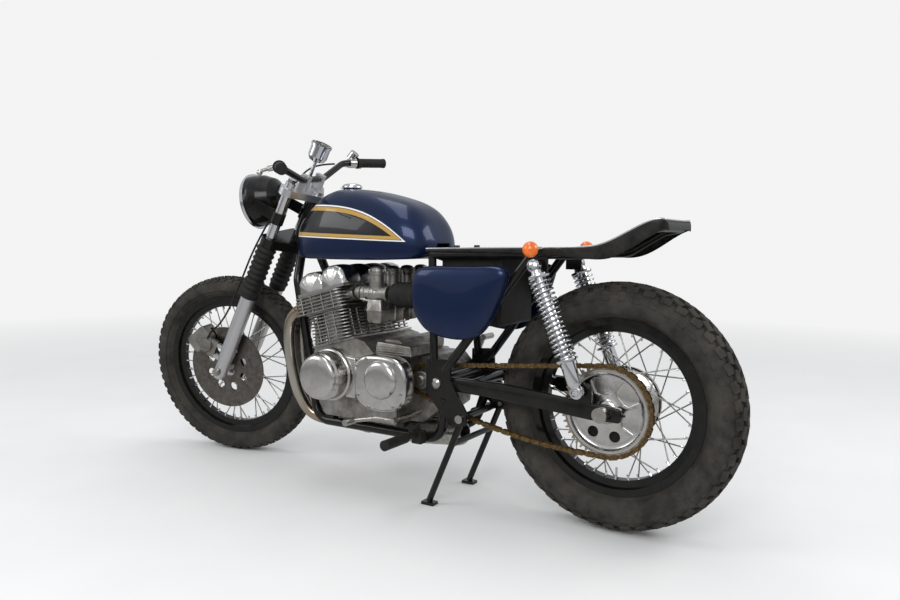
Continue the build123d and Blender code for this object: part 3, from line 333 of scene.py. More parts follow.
def knob(place, axis, radius, height, sides=6, bevel=0.0):
    """A short prism or disc standing on a point along an axis."""
    axis = Vector(axis).normalized()
    bpy.ops.mesh.primitive_cylinder_add(
        vertices=sides, radius=radius, depth=height, location=Vector(place) + axis * height / 2,
        rotation=axis.to_track_quat("Z", "Y").to_euler(),
    )
    made = bpy.context.active_object
    if bevel:
        edge = made.modifiers.new("Bevel", "BEVEL")
        edge.width = bevel
        edge.segments = 2
        apply_all(made)
    bpy.ops.object.transform_apply(location=True, rotation=True, scale=True)
    return made


def ring_of(count, radius, place, axis, start=0.0):
    """Points evenly round an axis through a point."""
    axis = Vector(axis).normalized()
    across = axis.orthogonal().normalized()
    return [
        Vector(place) + Matrix.Rotation(start + 2 * math.pi * k / count, 3, axis) @ across * radius
        for k in range(count)
    ]


def round_bar(name, points, radius, resolution, roundness):
    """A round bar on a smooth spline through points, as a curve."""
    curve = bpy.data.curves.new(name, "CURVE")
    curve.dimensions = "3D"
    curve.bevel_depth = radius
    curve.bevel_resolution = roundness
    curve.resolution_u = resolution
    curve.use_fill_caps = True
    spline = curve.splines.new("NURBS")
    spline.points.add(len(points) - 1)
    for point, place in zip(spline.points, points):
        point.co = (*place, 1.0)
    spline.order_u = 3
    spline.use_endpoint_u = True
    made = bpy.data.objects.new(name, curve)
    bpy.context.collection.objects.link(made)
    return made


def cord(name, points, radius, finish_name, body):
    """A cord on a smooth spline through control points in the machine's frame."""
    made = round_bar(name, points, radius, 8, 4)
    made.data.materials.append(bpy.data.materials[finish_name])
    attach(made, body)
    return made


def profile_ring(name, outline, steps):
    """A closed ring about the Y axis from (y, radius) points, with outward normals."""
    bpy.ops.mesh.primitive_circle_add(vertices=len(outline), radius=1.0)
    made = bpy.context.active_object
    made.name = name
    for vertex, (y, radius) in zip(made.data.vertices, outline):
        vertex.co = (radius, y, 0.0)
    screw = made.modifiers.new("Screw", "SCREW")
    screw.axis = "Y"
    screw.steps = steps
    screw.render_steps = steps
    screw.use_merge_vertices = True
    screw.use_smooth_shade = True
    apply_all(made)
    outward(made)
    return made


def tread_row(count, place, size, tilt, turn, skew=0.0):
    """A ring of tread blocks about the Y axis, from one block set at a point of the tyre's crown."""
    bpy.ops.mesh.primitive_cube_add(size=1.0)
    block = bpy.context.active_object
    block.scale = size
    edge = block.modifiers.new("Bevel", "BEVEL")
    edge.width = 0.0012
    edge.segments = 1
    bpy.ops.object.transform_apply(location=False, rotation=False, scale=True)
    apply_all(block)
    settle(block, Matrix.Rotation(skew, 4, "X"))
    settle(block, Matrix.Translation(place) @ Matrix.Rotation(tilt, 4, "Z"))
    settle(block, Matrix.Rotation(turn, 4, "Y"))
    bpy.ops.object.empty_add(location=(0, 0, 0), rotation=(0, 2 * math.pi / count, 0))
    pivot = bpy.context.active_object
    ring = block.modifiers.new("Array", "ARRAY")
    ring.count = count
    ring.use_relative_offset = False
    ring.use_object_offset = True
    ring.offset_object = pivot
    apply_all(block)
    bpy.data.objects.remove(pivot)
    return block


def skin(name, rings, capped=True):
    """A mesh over rings of points, each with the same count, closed by a face at both ends."""
    count = len(rings[0])
    corners = [tuple(point) for ring in rings for point in ring]
    faces = []
    for low in range(0, (len(rings) - 1) * count, count):
        for k in range(count):
            after = (k + 1) % count
            faces.append((low + k, low + after, low + count + after, low + count + k))
    if capped:
        faces.append(tuple(range(count)))
        faces.append(tuple(range(len(corners) - count, len(corners))))
    mesh = bpy.data.meshes.new(name)
    mesh.from_pydata(corners, [], faces)
    made = bpy.data.objects.new(name, mesh)
    bpy.context.collection.objects.link(made)
    outward(made)
    return made


def outward(piece):
    """Turns every normal of a piece outward."""
    only(piece)
    bpy.ops.object.mode_set(mode="EDIT")
    bpy.ops.mesh.select_all(action="SELECT")
    bpy.ops.mesh.normals_make_consistent(inside=False)
    bpy.ops.object.mode_set(mode="OBJECT")


def aim(place, axis):
    """The matrix that takes +Z at the origin to an axis at a place."""
    turn = Vector(axis).normalized().to_track_quat("Z", "Y").to_matrix().to_4x4()
    return Matrix.Translation(Vector(place)) @ turn


def lathe(name, profile, place, axis, steps=64, capped=True):
    """A turned body from (radius, height) points in millimetres, on an axis from a place in metres."""
    rings = []
    for radius, height in profile:
        rings.append([
            (
                max(radius, 0.02) / 1000 * math.cos(2 * math.pi * k / steps),
                max(radius, 0.02) / 1000 * math.sin(2 * math.pi * k / steps),
                height / 1000,
            )
            for k in range(steps)
        ])
    made = skin(name, rings, capped)
    settle(made, aim(place, axis))
    return made


def rod(name, radius, height, place, axis, steps):
    """A plain cylinder, radius and height in millimetres, on an axis from a place in metres."""
    return lathe(name, [(0, 0), (radius, 0), (radius, height), (0, height)], place, axis, steps)


def soften(piece, width, segments=2, angle=30.0):
    """Bevels the sharp edges of a piece."""
    edge = piece.modifiers.new("Bevel", "BEVEL")
    edge.width = width
    edge.segments = segments
    edge.limit_method = "ANGLE"
    edge.angle_limit = math.radians(angle)
    apply_all(piece)
    return piece


def slab(name, low, high, bevel=0.0, segments=2):
    """A box between two corners in millimetres, bevelled."""
    bpy.ops.mesh.primitive_cube_add(size=1.0)
    made = bpy.context.active_object
    made.name = name
    made.scale = [(h - l) / 1000 for l, h in zip(low, high)]
    made.location = [(l + h) / 2000 for l, h in zip(low, high)]
    bpy.ops.object.transform_apply(location=True, rotation=True, scale=True)
    return soften(made, bevel / 1000, segments) if bevel else made


def pressed(name, outline, y_from, y_to, bevel=0.0, segments=3):
    """A plate with an (x, z) outline between two y values, all in millimetres, bevelled."""
    rings = [[(x / 1000, y / 1000, z / 1000) for x, z in outline] for y in (y_from, y_to)]
    made = skin(name, rings)
    return soften(made, bevel / 1000, segments) if bevel else made


def rounded(outline, radius, steps=5):
    """An outline with each corner replaced by an arc."""
    points = []
    count = len(outline)
    for k in range(count):
        here = Vector(outline[k])
        before = (Vector(outline[k - 1]) - here).normalized()
        after = (Vector(outline[(k + 1) % count]) - here).normalized()
        half = math.acos(max(-1.0, min(1.0, before.dot(after)))) / 2
        reach = radius / math.tan(half)
        middle = here + (before + after).normalized() * radius / math.sin(half)
        start, end = here + before * reach - middle, here + after * reach - middle
        for step in range(steps + 1):
            share = step / steps
            spoke = (start * (1 - share) + end * share).normalized() * radius
            points.append(tuple(middle + spoke))
    return points


def between(a, b, c, d, t):
    """A point of the smooth curve from b to c that a and d, its neighbours, bend."""
    return 0.5 * (2 * b + (c - a) * t + (2 * a - 5 * b + 4 * c - d) * t**2 + (3 * b - a - 3 * c + d) * t**3)


def flowing(outline, steps=6):
    """A closed outline through points, smoothed between them."""
    points = []
    count = len(outline)
    for k in range(count):
        corners = [Vector(outline[(k + off) % count]) for off in (-1, 0, 1, 2)]
        points += [tuple(between(*corners, step / steps)) for step in range(steps)]
    return points


def cut(piece, cutter, operation="DIFFERENCE"):
    """Cuts a piece by another, which is used up."""
    hole = piece.modifiers.new("Cut", "BOOLEAN")
    hole.operation = operation
    hole.object = cutter
    hole.solver = "EXACT"
    apply_all(piece)
    bpy.data.objects.remove(cutter)
    return piece


def tubing(name, points, radius, resolution=10, roundness=3):
    """A round bar on a smooth spline through points in millimetres, as a mesh."""
    metres = [[c / 1000 for c in place] for place in points]
    only(round_bar(name, metres, radius / 1000, resolution, roundness))
    bpy.ops.object.convert(target="MESH")
    return bpy.context.active_object


# Which finish each carried-over part wears
FINISHES = {
    "tank": ["fuel_tank"],
    "paint": ["side_covers"],
    "gloss_black": [
        "frame", "swingarm", "front_rim", "rear_rim", "centre_stand", "handlebar", "headlamp_bucket",
        "headlamp_brackets", "lower_clamp",
    ],
    "satin_black": ["battery_box", "footpegs"],
    "steel": [
        "front_axle", "rear_axle", "frame_bolts", "front_spokes", "rear_spokes", "foot_levers",
        "rear_brake_plate", "front_sprocket", "silencer",
    ],
    "disc_steel": ["front_disc"],
    "chrome": ["fuel_cap", "fork_tubes", "headlamp_ring", "shock_springs", "shock_dampers", "gauge"],
    "polished": [
        "cam_cover", "left_engine_covers", "right_engine_covers", "levers",
        "cush_drive", "front_hub", "rear_hub", "oil_filter",
    ],
    "cast": ["crankcase", "caliper"],
    "alloy": ["carburettors", "upper_clamp", "fork_sliders"],
    "fins": ["cylinder_block", "cylinder_head"],
    "sprocket_steel": ["rear_sprocket"],
    "headers": ["exhaust_headers"],
    "chain_gold": ["chain"],
    "tyre": ["front_tyre", "rear_tyre"],
    "rubber": ["grips", "fork_gaiters", "brake_hose", "pod_filters"],
    "amber": ["rear_indicators"],
    "lens": ["headlamp_lens"],
    "seat_sheet": ["seat_pan"],
}


class RACER_OT_finishes(bpy.types.Operator):
    """Makes every finish and gives the carried-over parts theirs."""

    bl_idname = "racer.finishes"
    bl_label = "Finishes"

    def execute(self, context):
        values = context.scene.racer
        paint = tuple(values.paint)
        car_paint("tank", paint, tuple(values.gold), True)
        car_paint("paint", paint, tuple(values.gold), False)
        finish(
            "gloss_black", (0.004, 0.004, 0.004), 0.0, (0.12, 0.26), (0.010, 0.009, 0.007), 35.0, coat=0.12, shine=0.3,
        )
        finish("satin_black", (0.010, 0.010, 0.010), 0.0, (0.45, 0.65), (0.022, 0.020, 0.017), 30.0, 0.0003, shine=0.25)
        finish("steel", (0.50, 0.49, 0.47), 1.0, (0.2, 0.42), (0.36, 0.33, 0.29), 90.0, 0.00012)
        finish("disc_steel", (0.20, 0.19, 0.175), 1.0, (0.28, 0.42), (0.12, 0.10, 0.085), 60.0, 0.0001)
        finish("chrome", (0.74, 0.74, 0.75), 1.0, (0.05, 0.13), (0.62, 0.61, 0.59), 45.0)
        finish("polished", (0.66, 0.65, 0.63), 1.0, (0.15, 0.27), (0.55, 0.53, 0.50), 34.0, 0.00006, 900.0)
        finish("cast", (0.42, 0.41, 0.39), 1.0, (0.34, 0.54), (0.20, 0.18, 0.15), 30.0, 0.0003, 700.0)
        finish("alloy", (0.54, 0.53, 0.50), 1.0, (0.18, 0.32), (0.30, 0.27, 0.22), 42.0, 0.0001, 800.0)
        finish("fins", (0.50, 0.49, 0.47), 1.0, (0.28, 0.48), (0.26, 0.24, 0.21), 38.0, 0.0002, 800.0)
        finish("sprocket_steel", (0.52, 0.48, 0.42), 1.0, (0.26, 0.5), (0.25, 0.18, 0.10), 80.0, 0.0001)
        finish("chain_gold", (0.26, 0.17, 0.075), 1.0, (0.3, 0.62), (0.07, 0.045, 0.02), 160.0, 0.0002)
        finish("rubber", (0.008, 0.008, 0.008), 0.0, (0.5, 0.75), (0.020, 0.018, 0.016), 40.0, 0.0002, shine=0.25)
        finish("seat_sheet", (0.006, 0.006, 0.006), 0.0, (0.32, 0.44), (0.022, 0.020, 0.017), 30.0, 0.0001, shine=0.3)
        finish("gauge_face", (0.01, 0.01, 0.01), 0.0, (0.4, 0.5), (0.02, 0.02, 0.02), 50.0)
        finish("ivory", (0.75, 0.74, 0.68), 0.0, (0.4, 0.5), (0.62, 0.60, 0.54), 50.0)
        indicator("amber")
        dusty_rubber("tyre", values.dust)
        heat_tinted("headers")
        ribbed_glass("lens")
        for name, nodes in FINISHES.items():
            for each in nodes:
                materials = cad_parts[each].data.materials
                materials.clear()
                materials.append(bpy.data.materials[name])
        return {"FINISHED"}


# Rows of blocks on a tyre: y, radius of the block's middle, (depth, width, length), tilt off the crown in
# degrees, share of a step that the row is turned by, skew in degrees
REAR_ROWS = [
    (0.000, 0.3340, (0.008, 0.026, 0.030), 0.0, 0.0, 20.0),
    (0.026, 0.3315, (0.008, 0.021, 0.033), 14.0, 0.5, -18.0),
    (-0.026, 0.3315, (0.008, 0.021, 0.033), -14.0, 0.5, 18.0),
    (0.0475, 0.3220, (0.010, 0.020, 0.030), 38.0, 0.0, 8.0),
    (-0.0475, 0.3220, (0.010, 0.020, 0.030), -38.0, 0.0, -8.0),
    (0.0590, 0.3030, (0.006, 0.026, 0.020), 66.0, 0.5, 0.0),
    (-0.0590, 0.3030, (0.006, 0.026, 0.020), -66.0, 0.5, 0.0),
]
FRONT_ROWS = [
    (0.000, 0.3225, (0.005, 0.016, 0.019), 0.0, 0.0, 20.0),
    (0.019, 0.3205, (0.005, 0.015, 0.020), 16.0, 0.5, -16.0),
    (-0.019, 0.3205, (0.005, 0.015, 0.020), -16.0, 0.5, 16.0),
    (0.0345, 0.3140, (0.006, 0.013, 0.018), 40.0, 0.0, 6.0),
    (-0.0345, 0.3140, (0.006, 0.013, 0.018), -40.0, 0.0, -6.0),
]
# tyre, outer radius, width, flange radius, bead half width, tread depth, place; the body is named after the tyre
TYRES = [
    ("rear", 0.338, 0.128, 0.243, 0.0307, 0.008, REAR_WHEEL),
    ("front", 0.325, 0.090, 0.256, 0.0227, 0.005, FRONT_WHEEL),
]


class RACER_OT_tyres(bpy.types.Operator):
    """Models both tyres, carcass and tread blocks."""

    bl_idname = "racer.tyres"
    bl_label = "Tyres"

    def execute(self, context):
        values = context.scene.racer
        counts = {"rear": values.rear_blocks, "front": values.front_blocks}
        tables = {"rear": REAR_ROWS, "front": FRONT_ROWS}
        for name, outer, width, flange, bead, depth, place in TYRES:
            half = []
            shoulder_y, shoulder_r = 0.43 * width, outer - 0.15 * width - depth * 0.4
            for k in range(9):
                y = shoulder_y * k / 8
                half.append((y, outer - depth - (outer - depth - shoulder_r) * (k / 8) ** 2.4))
            side_r = (flange + shoulder_r) / 2
            half += [
                (width * 0.492, shoulder_r - 0.012),
                (width * 0.499, side_r + 0.006),
                (width * 0.494, side_r - 0.004),
                (width * 0.44, flange + 0.020),
                (width * 0.40, flange + 0.012),
                (width * 0.36, flange + 0.009),
                (bead + 0.003, flange + 0.002),
                (bead, flange - 0.002),
                (bead, flange - 0.0138),
            ]
            outline = [(-y, r) for y, r in reversed(half[1:])] + half
            carcass = profile_ring(f"{name}_carcass", outline, 96)
            rows = []
            for y, radius, size, tilt, share, skew in tables[name]:
                count = counts[name]
                rows.append(
                    tread_row(
                        count, (radius, y, 0.0), size, math.radians(tilt), 2 * math.pi / count * share,
                        math.radians(skew),
                    )
                )
            tyre = join([carcass, *rows], f"{name}_tyre_look")
            settle(tyre, place)
            dress(tyre, "tyre", f"{name}_wheel", 30.0)
            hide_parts(f"{name}_tyre")
        return {"FINISHED"}


# Hexagon and round heads: place, axis, radius, height, sides
COVER_BOLTS = [
    *[(p, (0, 1, 0), 0.0045, 0.003, 16) for p in ring_of(3, 0.058, (0.140, 0.2480, 0.368), (0, 1, 0), 0.5)],
    *[((x / 1000, 0.2035, z / 1000), (0, 1, 0), 0.0048, 0.0035, 16) for x, z in
      ((-140, 340), (-112, 300), (-24, 289), (17, 322), (22, 410), (-14, 433), (-116, 427))],
    *[(p, (0, -1, 0), 0.005, 0.004, 16) for p in ring_of(8, 0.0745, (-0.024, -0.1785, 0.356), (0, 1, 0), 0.1)],
    *[(p, (0, -1, 0), 0.005, 0.004, 16) for p in ring_of(4, 0.064, (0.140, -0.1825, 0.368), (0, 1, 0), 0.4)],
]
# The cam cover's banks, in the cylinders' own frame and millimetres: x of the middle, half width, height,
# then the foot's height, half the length and how far in the ends are rounded
CAM_BANKS = [(27.0, 58.0, 68.0), (-62.0, 52.0, 70.5)]
CAM_FOOT = 262.0
CAM_HALF = 171.0
CAM_ROUND = 22.0
FILLER_X = 0.201
BORES = (-120.0, -40.0, 40.0, 120.0)
# A header's control points: x, y for the outermost pipe, z
HEADER = [
    (307, 120, 557.2), (335, 120, 549.7), (362, 120, 522), (373, 119, 470), (371, 116, 410), (364, 111, 350),
    (352, 100, 280), (330, 84, 222), (290, 70, 192), (220, 60, 190), (140, 60, 190), (66, 60, 190),
]
# Left covers: the generator's and the gear disc's (radius, height), and the gear cover's outline (x, z)
GENERATOR = [
    (0, 1), (82, 1), (82, 15), (80, 18), (76, 20), (75, 24), (74, 54), (71, 64), (69, 66), (68, 70),
    (67, 76), (63, 80), (54, 82.5), (30, 84), (0, 84.3),
]
GEAR_COVER = [
    (-154, 350), (-146, 312), (-112, 286), (-60, 277), (-8, 284), (28, 312), (36, 365), (30, 416), (0, 440), (-60, 446),
    (-120, 438), (-148, 408),
]
GEAR_DISC = [(0, 0), (57, 0), (57, 4), (55, 8), (50, 12), (44, 14), (30, 15.5), (0, 16)]


def tank_ring(x, low, half, top):
    """The tank's section at x, in metres: flat sides below, drawn in to a rounded crown."""
    ring = []
    tall = top - low
    for j in range(65):
        angle = math.pi * j / 64
        up = math.sin(angle)
        across = math.copysign(abs(math.cos(angle)) ** 0.62, math.cos(angle))
        z = low + 0.30 * tall + 0.70 * tall * up**0.98
        ring.append((x / 1000, -half * across / 1000, z / 1000))
    foot = ((0.995, 0.14), (0.985, 0.06), (0.96, 0.015), (0.90, 0.0), (0.45, 0.0))
    for side, row in ((1, foot), (-1, foot[::-1])):
        for share, drop in row:
            ring.append((x / 1000, side * half * share / 1000, (low + drop * tall) / 1000))
    return ring


def tank_stations():
    """The tank's table of stations filled in smoothly, front to back."""
    rows = []
    last = len(TANK) - 1
    for k in range(last):
        corners = [Vector(TANK[i]) for i in (max(k - 1, 0), k, k + 1, min(k + 2, last))]
        rows += [between(*corners, step / 6) for step in range(6)]
    rows.append(Vector(TANK[last]))
    return rows


def cam_bank(name, middle, half, height):
    """One of the cam cover's two humps: lobed over the bores and fluted at its rounded ends."""
    rings = []
    stations = 89
    for i in range(stations):
        y = -CAM_HALF + 2 * CAM_HALF * i / (stations - 1)
        into = max(0.0, (abs(y) - (CAM_HALF - CAM_ROUND)) / CAM_ROUND)
        shrink = math.sqrt(max(0.0016, 1 - into**3.0))
        lobe = 0.93 + 0.07 * abs(math.cos(math.pi * (y - 40) / 80)) ** 0.5
        ring = []
        for j in range(49):
            angle = math.pi * j / 48
            flute = 1 - 0.035 * abs(math.sin(6.5 * angle)) * min(1.0, into * 3 + 0.3)
            reach = lobe * flute * shrink
            across = math.copysign(abs(math.cos(angle)) ** 0.85, math.cos(angle))
            up = math.sin(angle) ** 0.62 if 0 < angle < 3.14 else 0.0
            ring.append(((middle + half * across * reach) / 1000, y / 1000, (CAM_FOOT + height * up * reach) / 1000))
        rings.append(ring)
    return skin(name, rings)


def carburettor(y):
    """One carburettor: body, throttle chamber with its ribbed cap, float bowl, clips and union."""
    ahead = (1, 0, 0)
    parts = [
        lathe("body", [(19, 0), (25, 1), (25, 9), (21, 12), (20, 40), (23, 46), (26, 48), (26, 60), (22, 62)],
              (-0.040, y, 0.622), ahead, 40),
        lathe("stub", [(22, 0), (24.5, 2), (24.5, 9), (22.5, 10), (22.5, 22), (25, 24), (25, 34), (22, 36), (21, 58)],
              (0.0215, y, 0.622), ahead, 40),
        lathe("chamber", [(20, 0), (23, 3), (23, 48), (25.5, 50), (25.5, 58), (23, 60), (22, 66), (17, 72), (8, 75),
                          (0, 75.5)], (0.008, y, 0.630), (0, 0, 1), 40),
        lathe("clip", [(22.4, 0), (25.6, 0), (25.6, 7), (22.4, 7)], (0.060, y, 0.622), ahead, 40),
    ]
    for k in range(10):
        angle = 2 * math.pi * k / 10
        rib = slab("rib", (21, -1.6, 52), (26.4, 1.6, 66), 0.8)
        settle(rib, Matrix.Translation((0.008, y, 0.630)) @ Matrix.Rotation(angle, 4, "Z"))
        parts.append(rib)
    outline = rounded([(-24, 24), (36, 24), (36, -24), (-24, -24)], 9)
    levels = ((0.55, 531), (0.82, 533), (0.93, 540), (0.97, 566), (1.06, 568), (1.06, 573), (0.98, 575), (0.9, 604))
    bowl = skin("bowl", [
        [((6 + (a - 6) * scale) / 1000, y + b * scale / 1000, z / 1000) for a, b in outline] for scale, z in levels
    ])
    parts.append(soften(bowl, 0.0008, 2, 40))
    parts.append(lathe("plug", [(0, 0), (8, 0), (8, 6), (6, 8), (0, 8)], (0.006, y, 0.534), (0, 0, -1), 6))
    for a in (-18, 30):
        for b in (-18, 18):
            parts.append(lathe("screw", [(0, 0), (3.4, 0), (3.4, 2.2), (2.6, 3.2), (0, 3.2)],
                               (a / 1000, y + b / 1000, 0.566), (0, 0, -1), 16))
    parts.append(lathe("union", [(4, 0), (4, 8), (6.5, 9), (6.5, 14), (3.2, 15), (3.2, 24), (0, 24)],
                       (0.030, y + 0.018, 0.600), (0.7, 0.4, 0.2), 16))
    return parts


class RACER_OT_engine(bpy.types.Operator):
    """Models the engine's covers, carburettors, fin webs, headers and fittings, and the filler cap."""

    bl_idname = "racer.engine"
    bl_label = "Engine"

    def execute(self, context):
        # Cam cover
        base = pressed("base", rounded([(76, 256.4), (76, 266), (-114, 266), (-114, 256.4)], 2), -173, 173, 0)
        banks = [cam_bank("bank", *row) for row in CAM_BANKS]
        spine = pressed("spine", [(20, 262), (-4, 296), (-18, 300), (-40, 300), (-66, 262)], -140, 140, 6)
        cover = join([base, spine, *banks], "cam_cover_look")
        settle(cover, CYLINDERS)
        dress(cover, "polished", "chassis", 50.0)
        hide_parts("cam_cover")
        profile = [(0, 0), (7, 0), (7, 5), (5.5, 6.5), (0, 8)]
        nuts = [
            lathe("nut", profile, (x / 1000, y / 1000, 0.2655), (0, 0, 1), 6)
            for y in (-150, -80, 0, 80, 150) for x in (70, -108)
        ]
        bolts = join(nuts, "cam_cover_nuts")
        settle(bolts, CYLINDERS)
        dress(bolts, "steel", "chassis")

        # Covers on the left
        drum = lathe("drum", GENERATOR, (0.140, 0.1723, 0.368), (0, 1, 0), 96)
        shell = pressed("shell", flowing(GEAR_COVER, 6), 150.5, 204, 0)
        soften(shell, 0.012, 5, 50)
        disc = lathe("disc", GEAR_DISC, (-0.066, 0.2030, 0.374), (0, 1, 0), 80)
        neck = pressed("neck", rounded([(50, 300), (90, 300), (90, 430), (50, 425)], 8), 150.5, 176, 5)
        covers = join([drum, shell, disc, neck], "left_covers_look")
        dress(covers, "polished", "chassis", 40.0)
        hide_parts("left_engine_covers")

        # Ribbed starter cover behind the cylinders
        outline = rounded([(2, 437), (-6, 477), (-128, 470), (-134, 437)], 5)
        body = pressed("starter", outline, 20, 139, 0)
        soften(body, 0.003, 2, 50)
        ribs = [
            pressed("rib", [(-4, z), (-126, z - 1), (-126, z + 2), (-4, z + 3)], 120, 141.5, 0.8)
            for z in (442, 449, 456, 463)
        ]
        starter = join([body, *ribs], "starter_cover")
        dress(starter, "cast", "chassis", 40.0)

        # Sprocket nut with its lock disc
        lock = lathe("lock", [(0, 0), (27, 0), (27, 3), (25, 4), (15, 4), (15, 10), (12, 13), (0, 13.5)],
                     (-0.145, 0.1036, 0.368), (0, 1, 0), 48)
        lock.name = "sprocket_lock"
        dress(lock, "cast", "chassis")

        # Webs between the fins: x, y, x size, y size, lowest and highest z, in the cylinders' own frame
        webs = []
        for x in (-46, -12, 22):
            for side in (1, -1):
                webs.append((x - 1.5, side * 167 - 3, x + 1.5, side * 167 + 3, 103, 190))
        for x in (-66, -24, 20, 60):
            for side in (1, -1):
                webs.append((x - 1.5, side * 179 - 4, x + 1.5, side * 179 + 4, 199, 253))
        for y in BORES:
            for off in (-16, 16):
                webs.append((60, y + off - 1.5, 67, y + off + 1.5, 103, 190))
                webs.append((-91, y + off - 1.5, -84, y + off + 1.5, 103, 190))
        slabs = [slab("web", (x, y, low), (far_x, far_y, high), 0.7, 1) for x, y, far_x, far_y, low, high in webs]
        posts = join(slabs, "fin_webs")
        settle(posts, CYLINDERS)
        dress(posts, "fins", "chassis")

        # Carburettors
        pieces = []
        for y in BORES:
            pieces += carburettor(y / 1000)
        pieces.append(tubing("link", [(30, -126, 648), (30, -40, 648), (30, 40, 648), (30, 126, 648)], 4))
        pieces.append(tubing("rail", [(-14, -126, 604), (-14, -40, 604), (-14, 40, 604), (-14, 126, 604)], 4))
        carbs = join(pieces, "carburettors_look")
        dress(carbs, "cast", "chassis", 35.0)
        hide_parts("carburettors")

        # Filler cap
        cap = lathe("fuel_cap_look", [
            (0, 8.3), (31, 8.3), (33, 9.5), (33.4, 12.5), (32, 17), (29, 20.5), (24, 23), (16, 24.6), (8, 25), (0, 25),
        ], (FILLER_X, 0, 0.942), (0, 0, 1), 64)
        flap = slab("flap", (228, -9, 951.5), (243, 9, 956.5), 1.5)
        cap = join([cap, flap], "fuel_cap_look")
        dress(cap, "chrome", "fuel_cap", 40.0)
        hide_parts("fuel_cap")

        # Headers, with their flanges, studs, collector and clamps
        pipes = []
        for y in BORES:
            share = y / 120
            pipes.append(tubing("pipe", [(x, w * share, z) for x, w, z in HEADER], 19, 10, 7))
            flange = lathe("flange", [(20, 0), (27, 0), (27, 7), (24, 9), (19.5, 9.5)], (0.307, y / 1000, 0.5572),
                           (math.cos(math.radians(15)), 0, -math.sin(math.radians(15))), 40)
            pipes.append(flange)
            for off in (-31, 31):
                pipes.append(lathe("stud", [(0, 0), (4, 0), (4, 10), (6, 10), (6, 15), (3, 17), (0, 17)],
                                   (0.3035, (y + off) / 1000, 0.5582), (0.966, 0, -0.259), 6))
        pipes.append(slab("collector", (64, -80, 169), (98, 80, 211), 8, 3))
        for y in (-60, -20, 20, 60):
            profile = [(19.5, 0), (22.5, 0), (22.5, 14), (19.5, 14)]
            pipes.append(lathe("clamp", profile, (0.098, y / 1000, 0.190), (1, 0, 0), 40))
        headers = join(pipes, "exhaust_headers_look")
        dress(headers, "headers", "chassis", 40.0)
        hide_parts("exhaust_headers")

        heads = [knob(place, axis, radius, height, sides, 0.0006) for place, axis, radius, height, sides in COVER_BOLTS]
        screws = join(heads, "cover_screws")
        dress(screws, "steel", "chassis")
        return {"FINISHED"}


# Rear drive's face: angle of each pocket, and of each hole that goes right through
POCKETS = (20, 79, 138, 197)
HOLES = (251, 303)
# Turned profiles: (radius, height) in millimetres
BUNG = [(0, 0), (14.9, 0), (14.9, 5), (9, 5.5), (7, 3), (0, 3)]
NIPPLE = [(2.1, 0), (3.0, 1), (3.0, 9), (3.8, 10.5), (3.8, 12)]
STEM = [(3.0, -30), (3.0, -4), (6, -4), (6, 0), (0, 0)]


class RACER_OT_wheels(bpy.types.Operator):
    """Models the rear drive's face, the nipples and the valve stems."""

    bl_idname = "racer.wheels"
    bl_label = "Wheel details"

    def execute(self, context):
        profile = [
            (9.7, 56.5), (9.7, 99.5), (22, 100), (28, 98), (33, 92), (42, 90), (88, 88), (97, 89), (101, 92),
            (104, 97), (111.5, 97.2), (111.5, 92), (113, 90), (112, 83), (104, 70), (97, 56.5),
        ]
        rings = []
        for radius, y in profile:
            rings.append([
                (radius / 1000 * math.cos(math.pi * k / 48), y / 1000, radius / 1000 * math.sin(math.pi * k / 48))
                for k in range(96)
            ])
        plate = skin("cush_drive_look", rings + rings[:1], False)
        outward(plate)
        for angle in POCKETS:
            shape = [(44, -13), (50, -26), (84, -34), (93, -20), (95, 0), (93, 20), (84, 34), (50, 26), (44, 13)]
            cutter = pressed("pocket", rounded(shape, 4, 3), 79, 94, 0)
            soften(cutter, 0.002, 2, 50)
            settle(cutter, Matrix.Rotation(-math.radians(angle), 4, "Y"))
            cut(plate, cutter)
        bungs = []
        for angle in HOLES:
            turned = Matrix.Rotation(-math.radians(angle), 4, "Y")
            cutter = rod("hole", 15, 34, (0.069, 0.064, 0.0), (0, 1, 0), 40)
            settle(cutter, turned)
            cut(plate, cutter)
            bung = lathe("bung", BUNG, (0.069, 0.066, 0.0), (0, 1, 0), 40)
            settle(bung, REAR_WHEEL @ turned)
            bungs.append(bung)
        soften(plate, 0.0012, 2, 35)
        settle(plate, REAR_WHEEL)
        dress(plate, "polished", "rear_wheel", 40.0)
        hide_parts("cush_drive")
        dress(join(bungs, "cush_bungs"), "rubber", "rear_wheel")
        # name, radius of the rim's well on the inside, place, body
        for name, well, place, body in (
            ("rear", 203.0, REAR_WHEEL, "rear_wheel"), ("front", 216.0, FRONT_WHEEL, "front_wheel"),
        ):
            nipples = []
            for k in range(20):
                for side in (1, -1):
                    hand = 1 if k % 2 else -1
                    angle = math.radians(18 * (k + (0.5 if side < 0 else 0)))
                    out = Vector((math.cos(angle), 0, math.sin(angle)))
                    foot = out * (well - 12) / 1000 + Vector((0, side * (4.4 + hand * 2.6) / 1000, 0))
                    nipples.append(lathe("nipple", NIPPLE, foot, out, 8))
            nipples.append(lathe("stem", STEM, (0, 0, -(well - 1) / 1000), (0, 0, -1), 12))
            ring = join(nipples, f"{name}_nipples")
            settle(ring, place)
            dress(ring, "chrome", body)
        return {"FINISHED"}


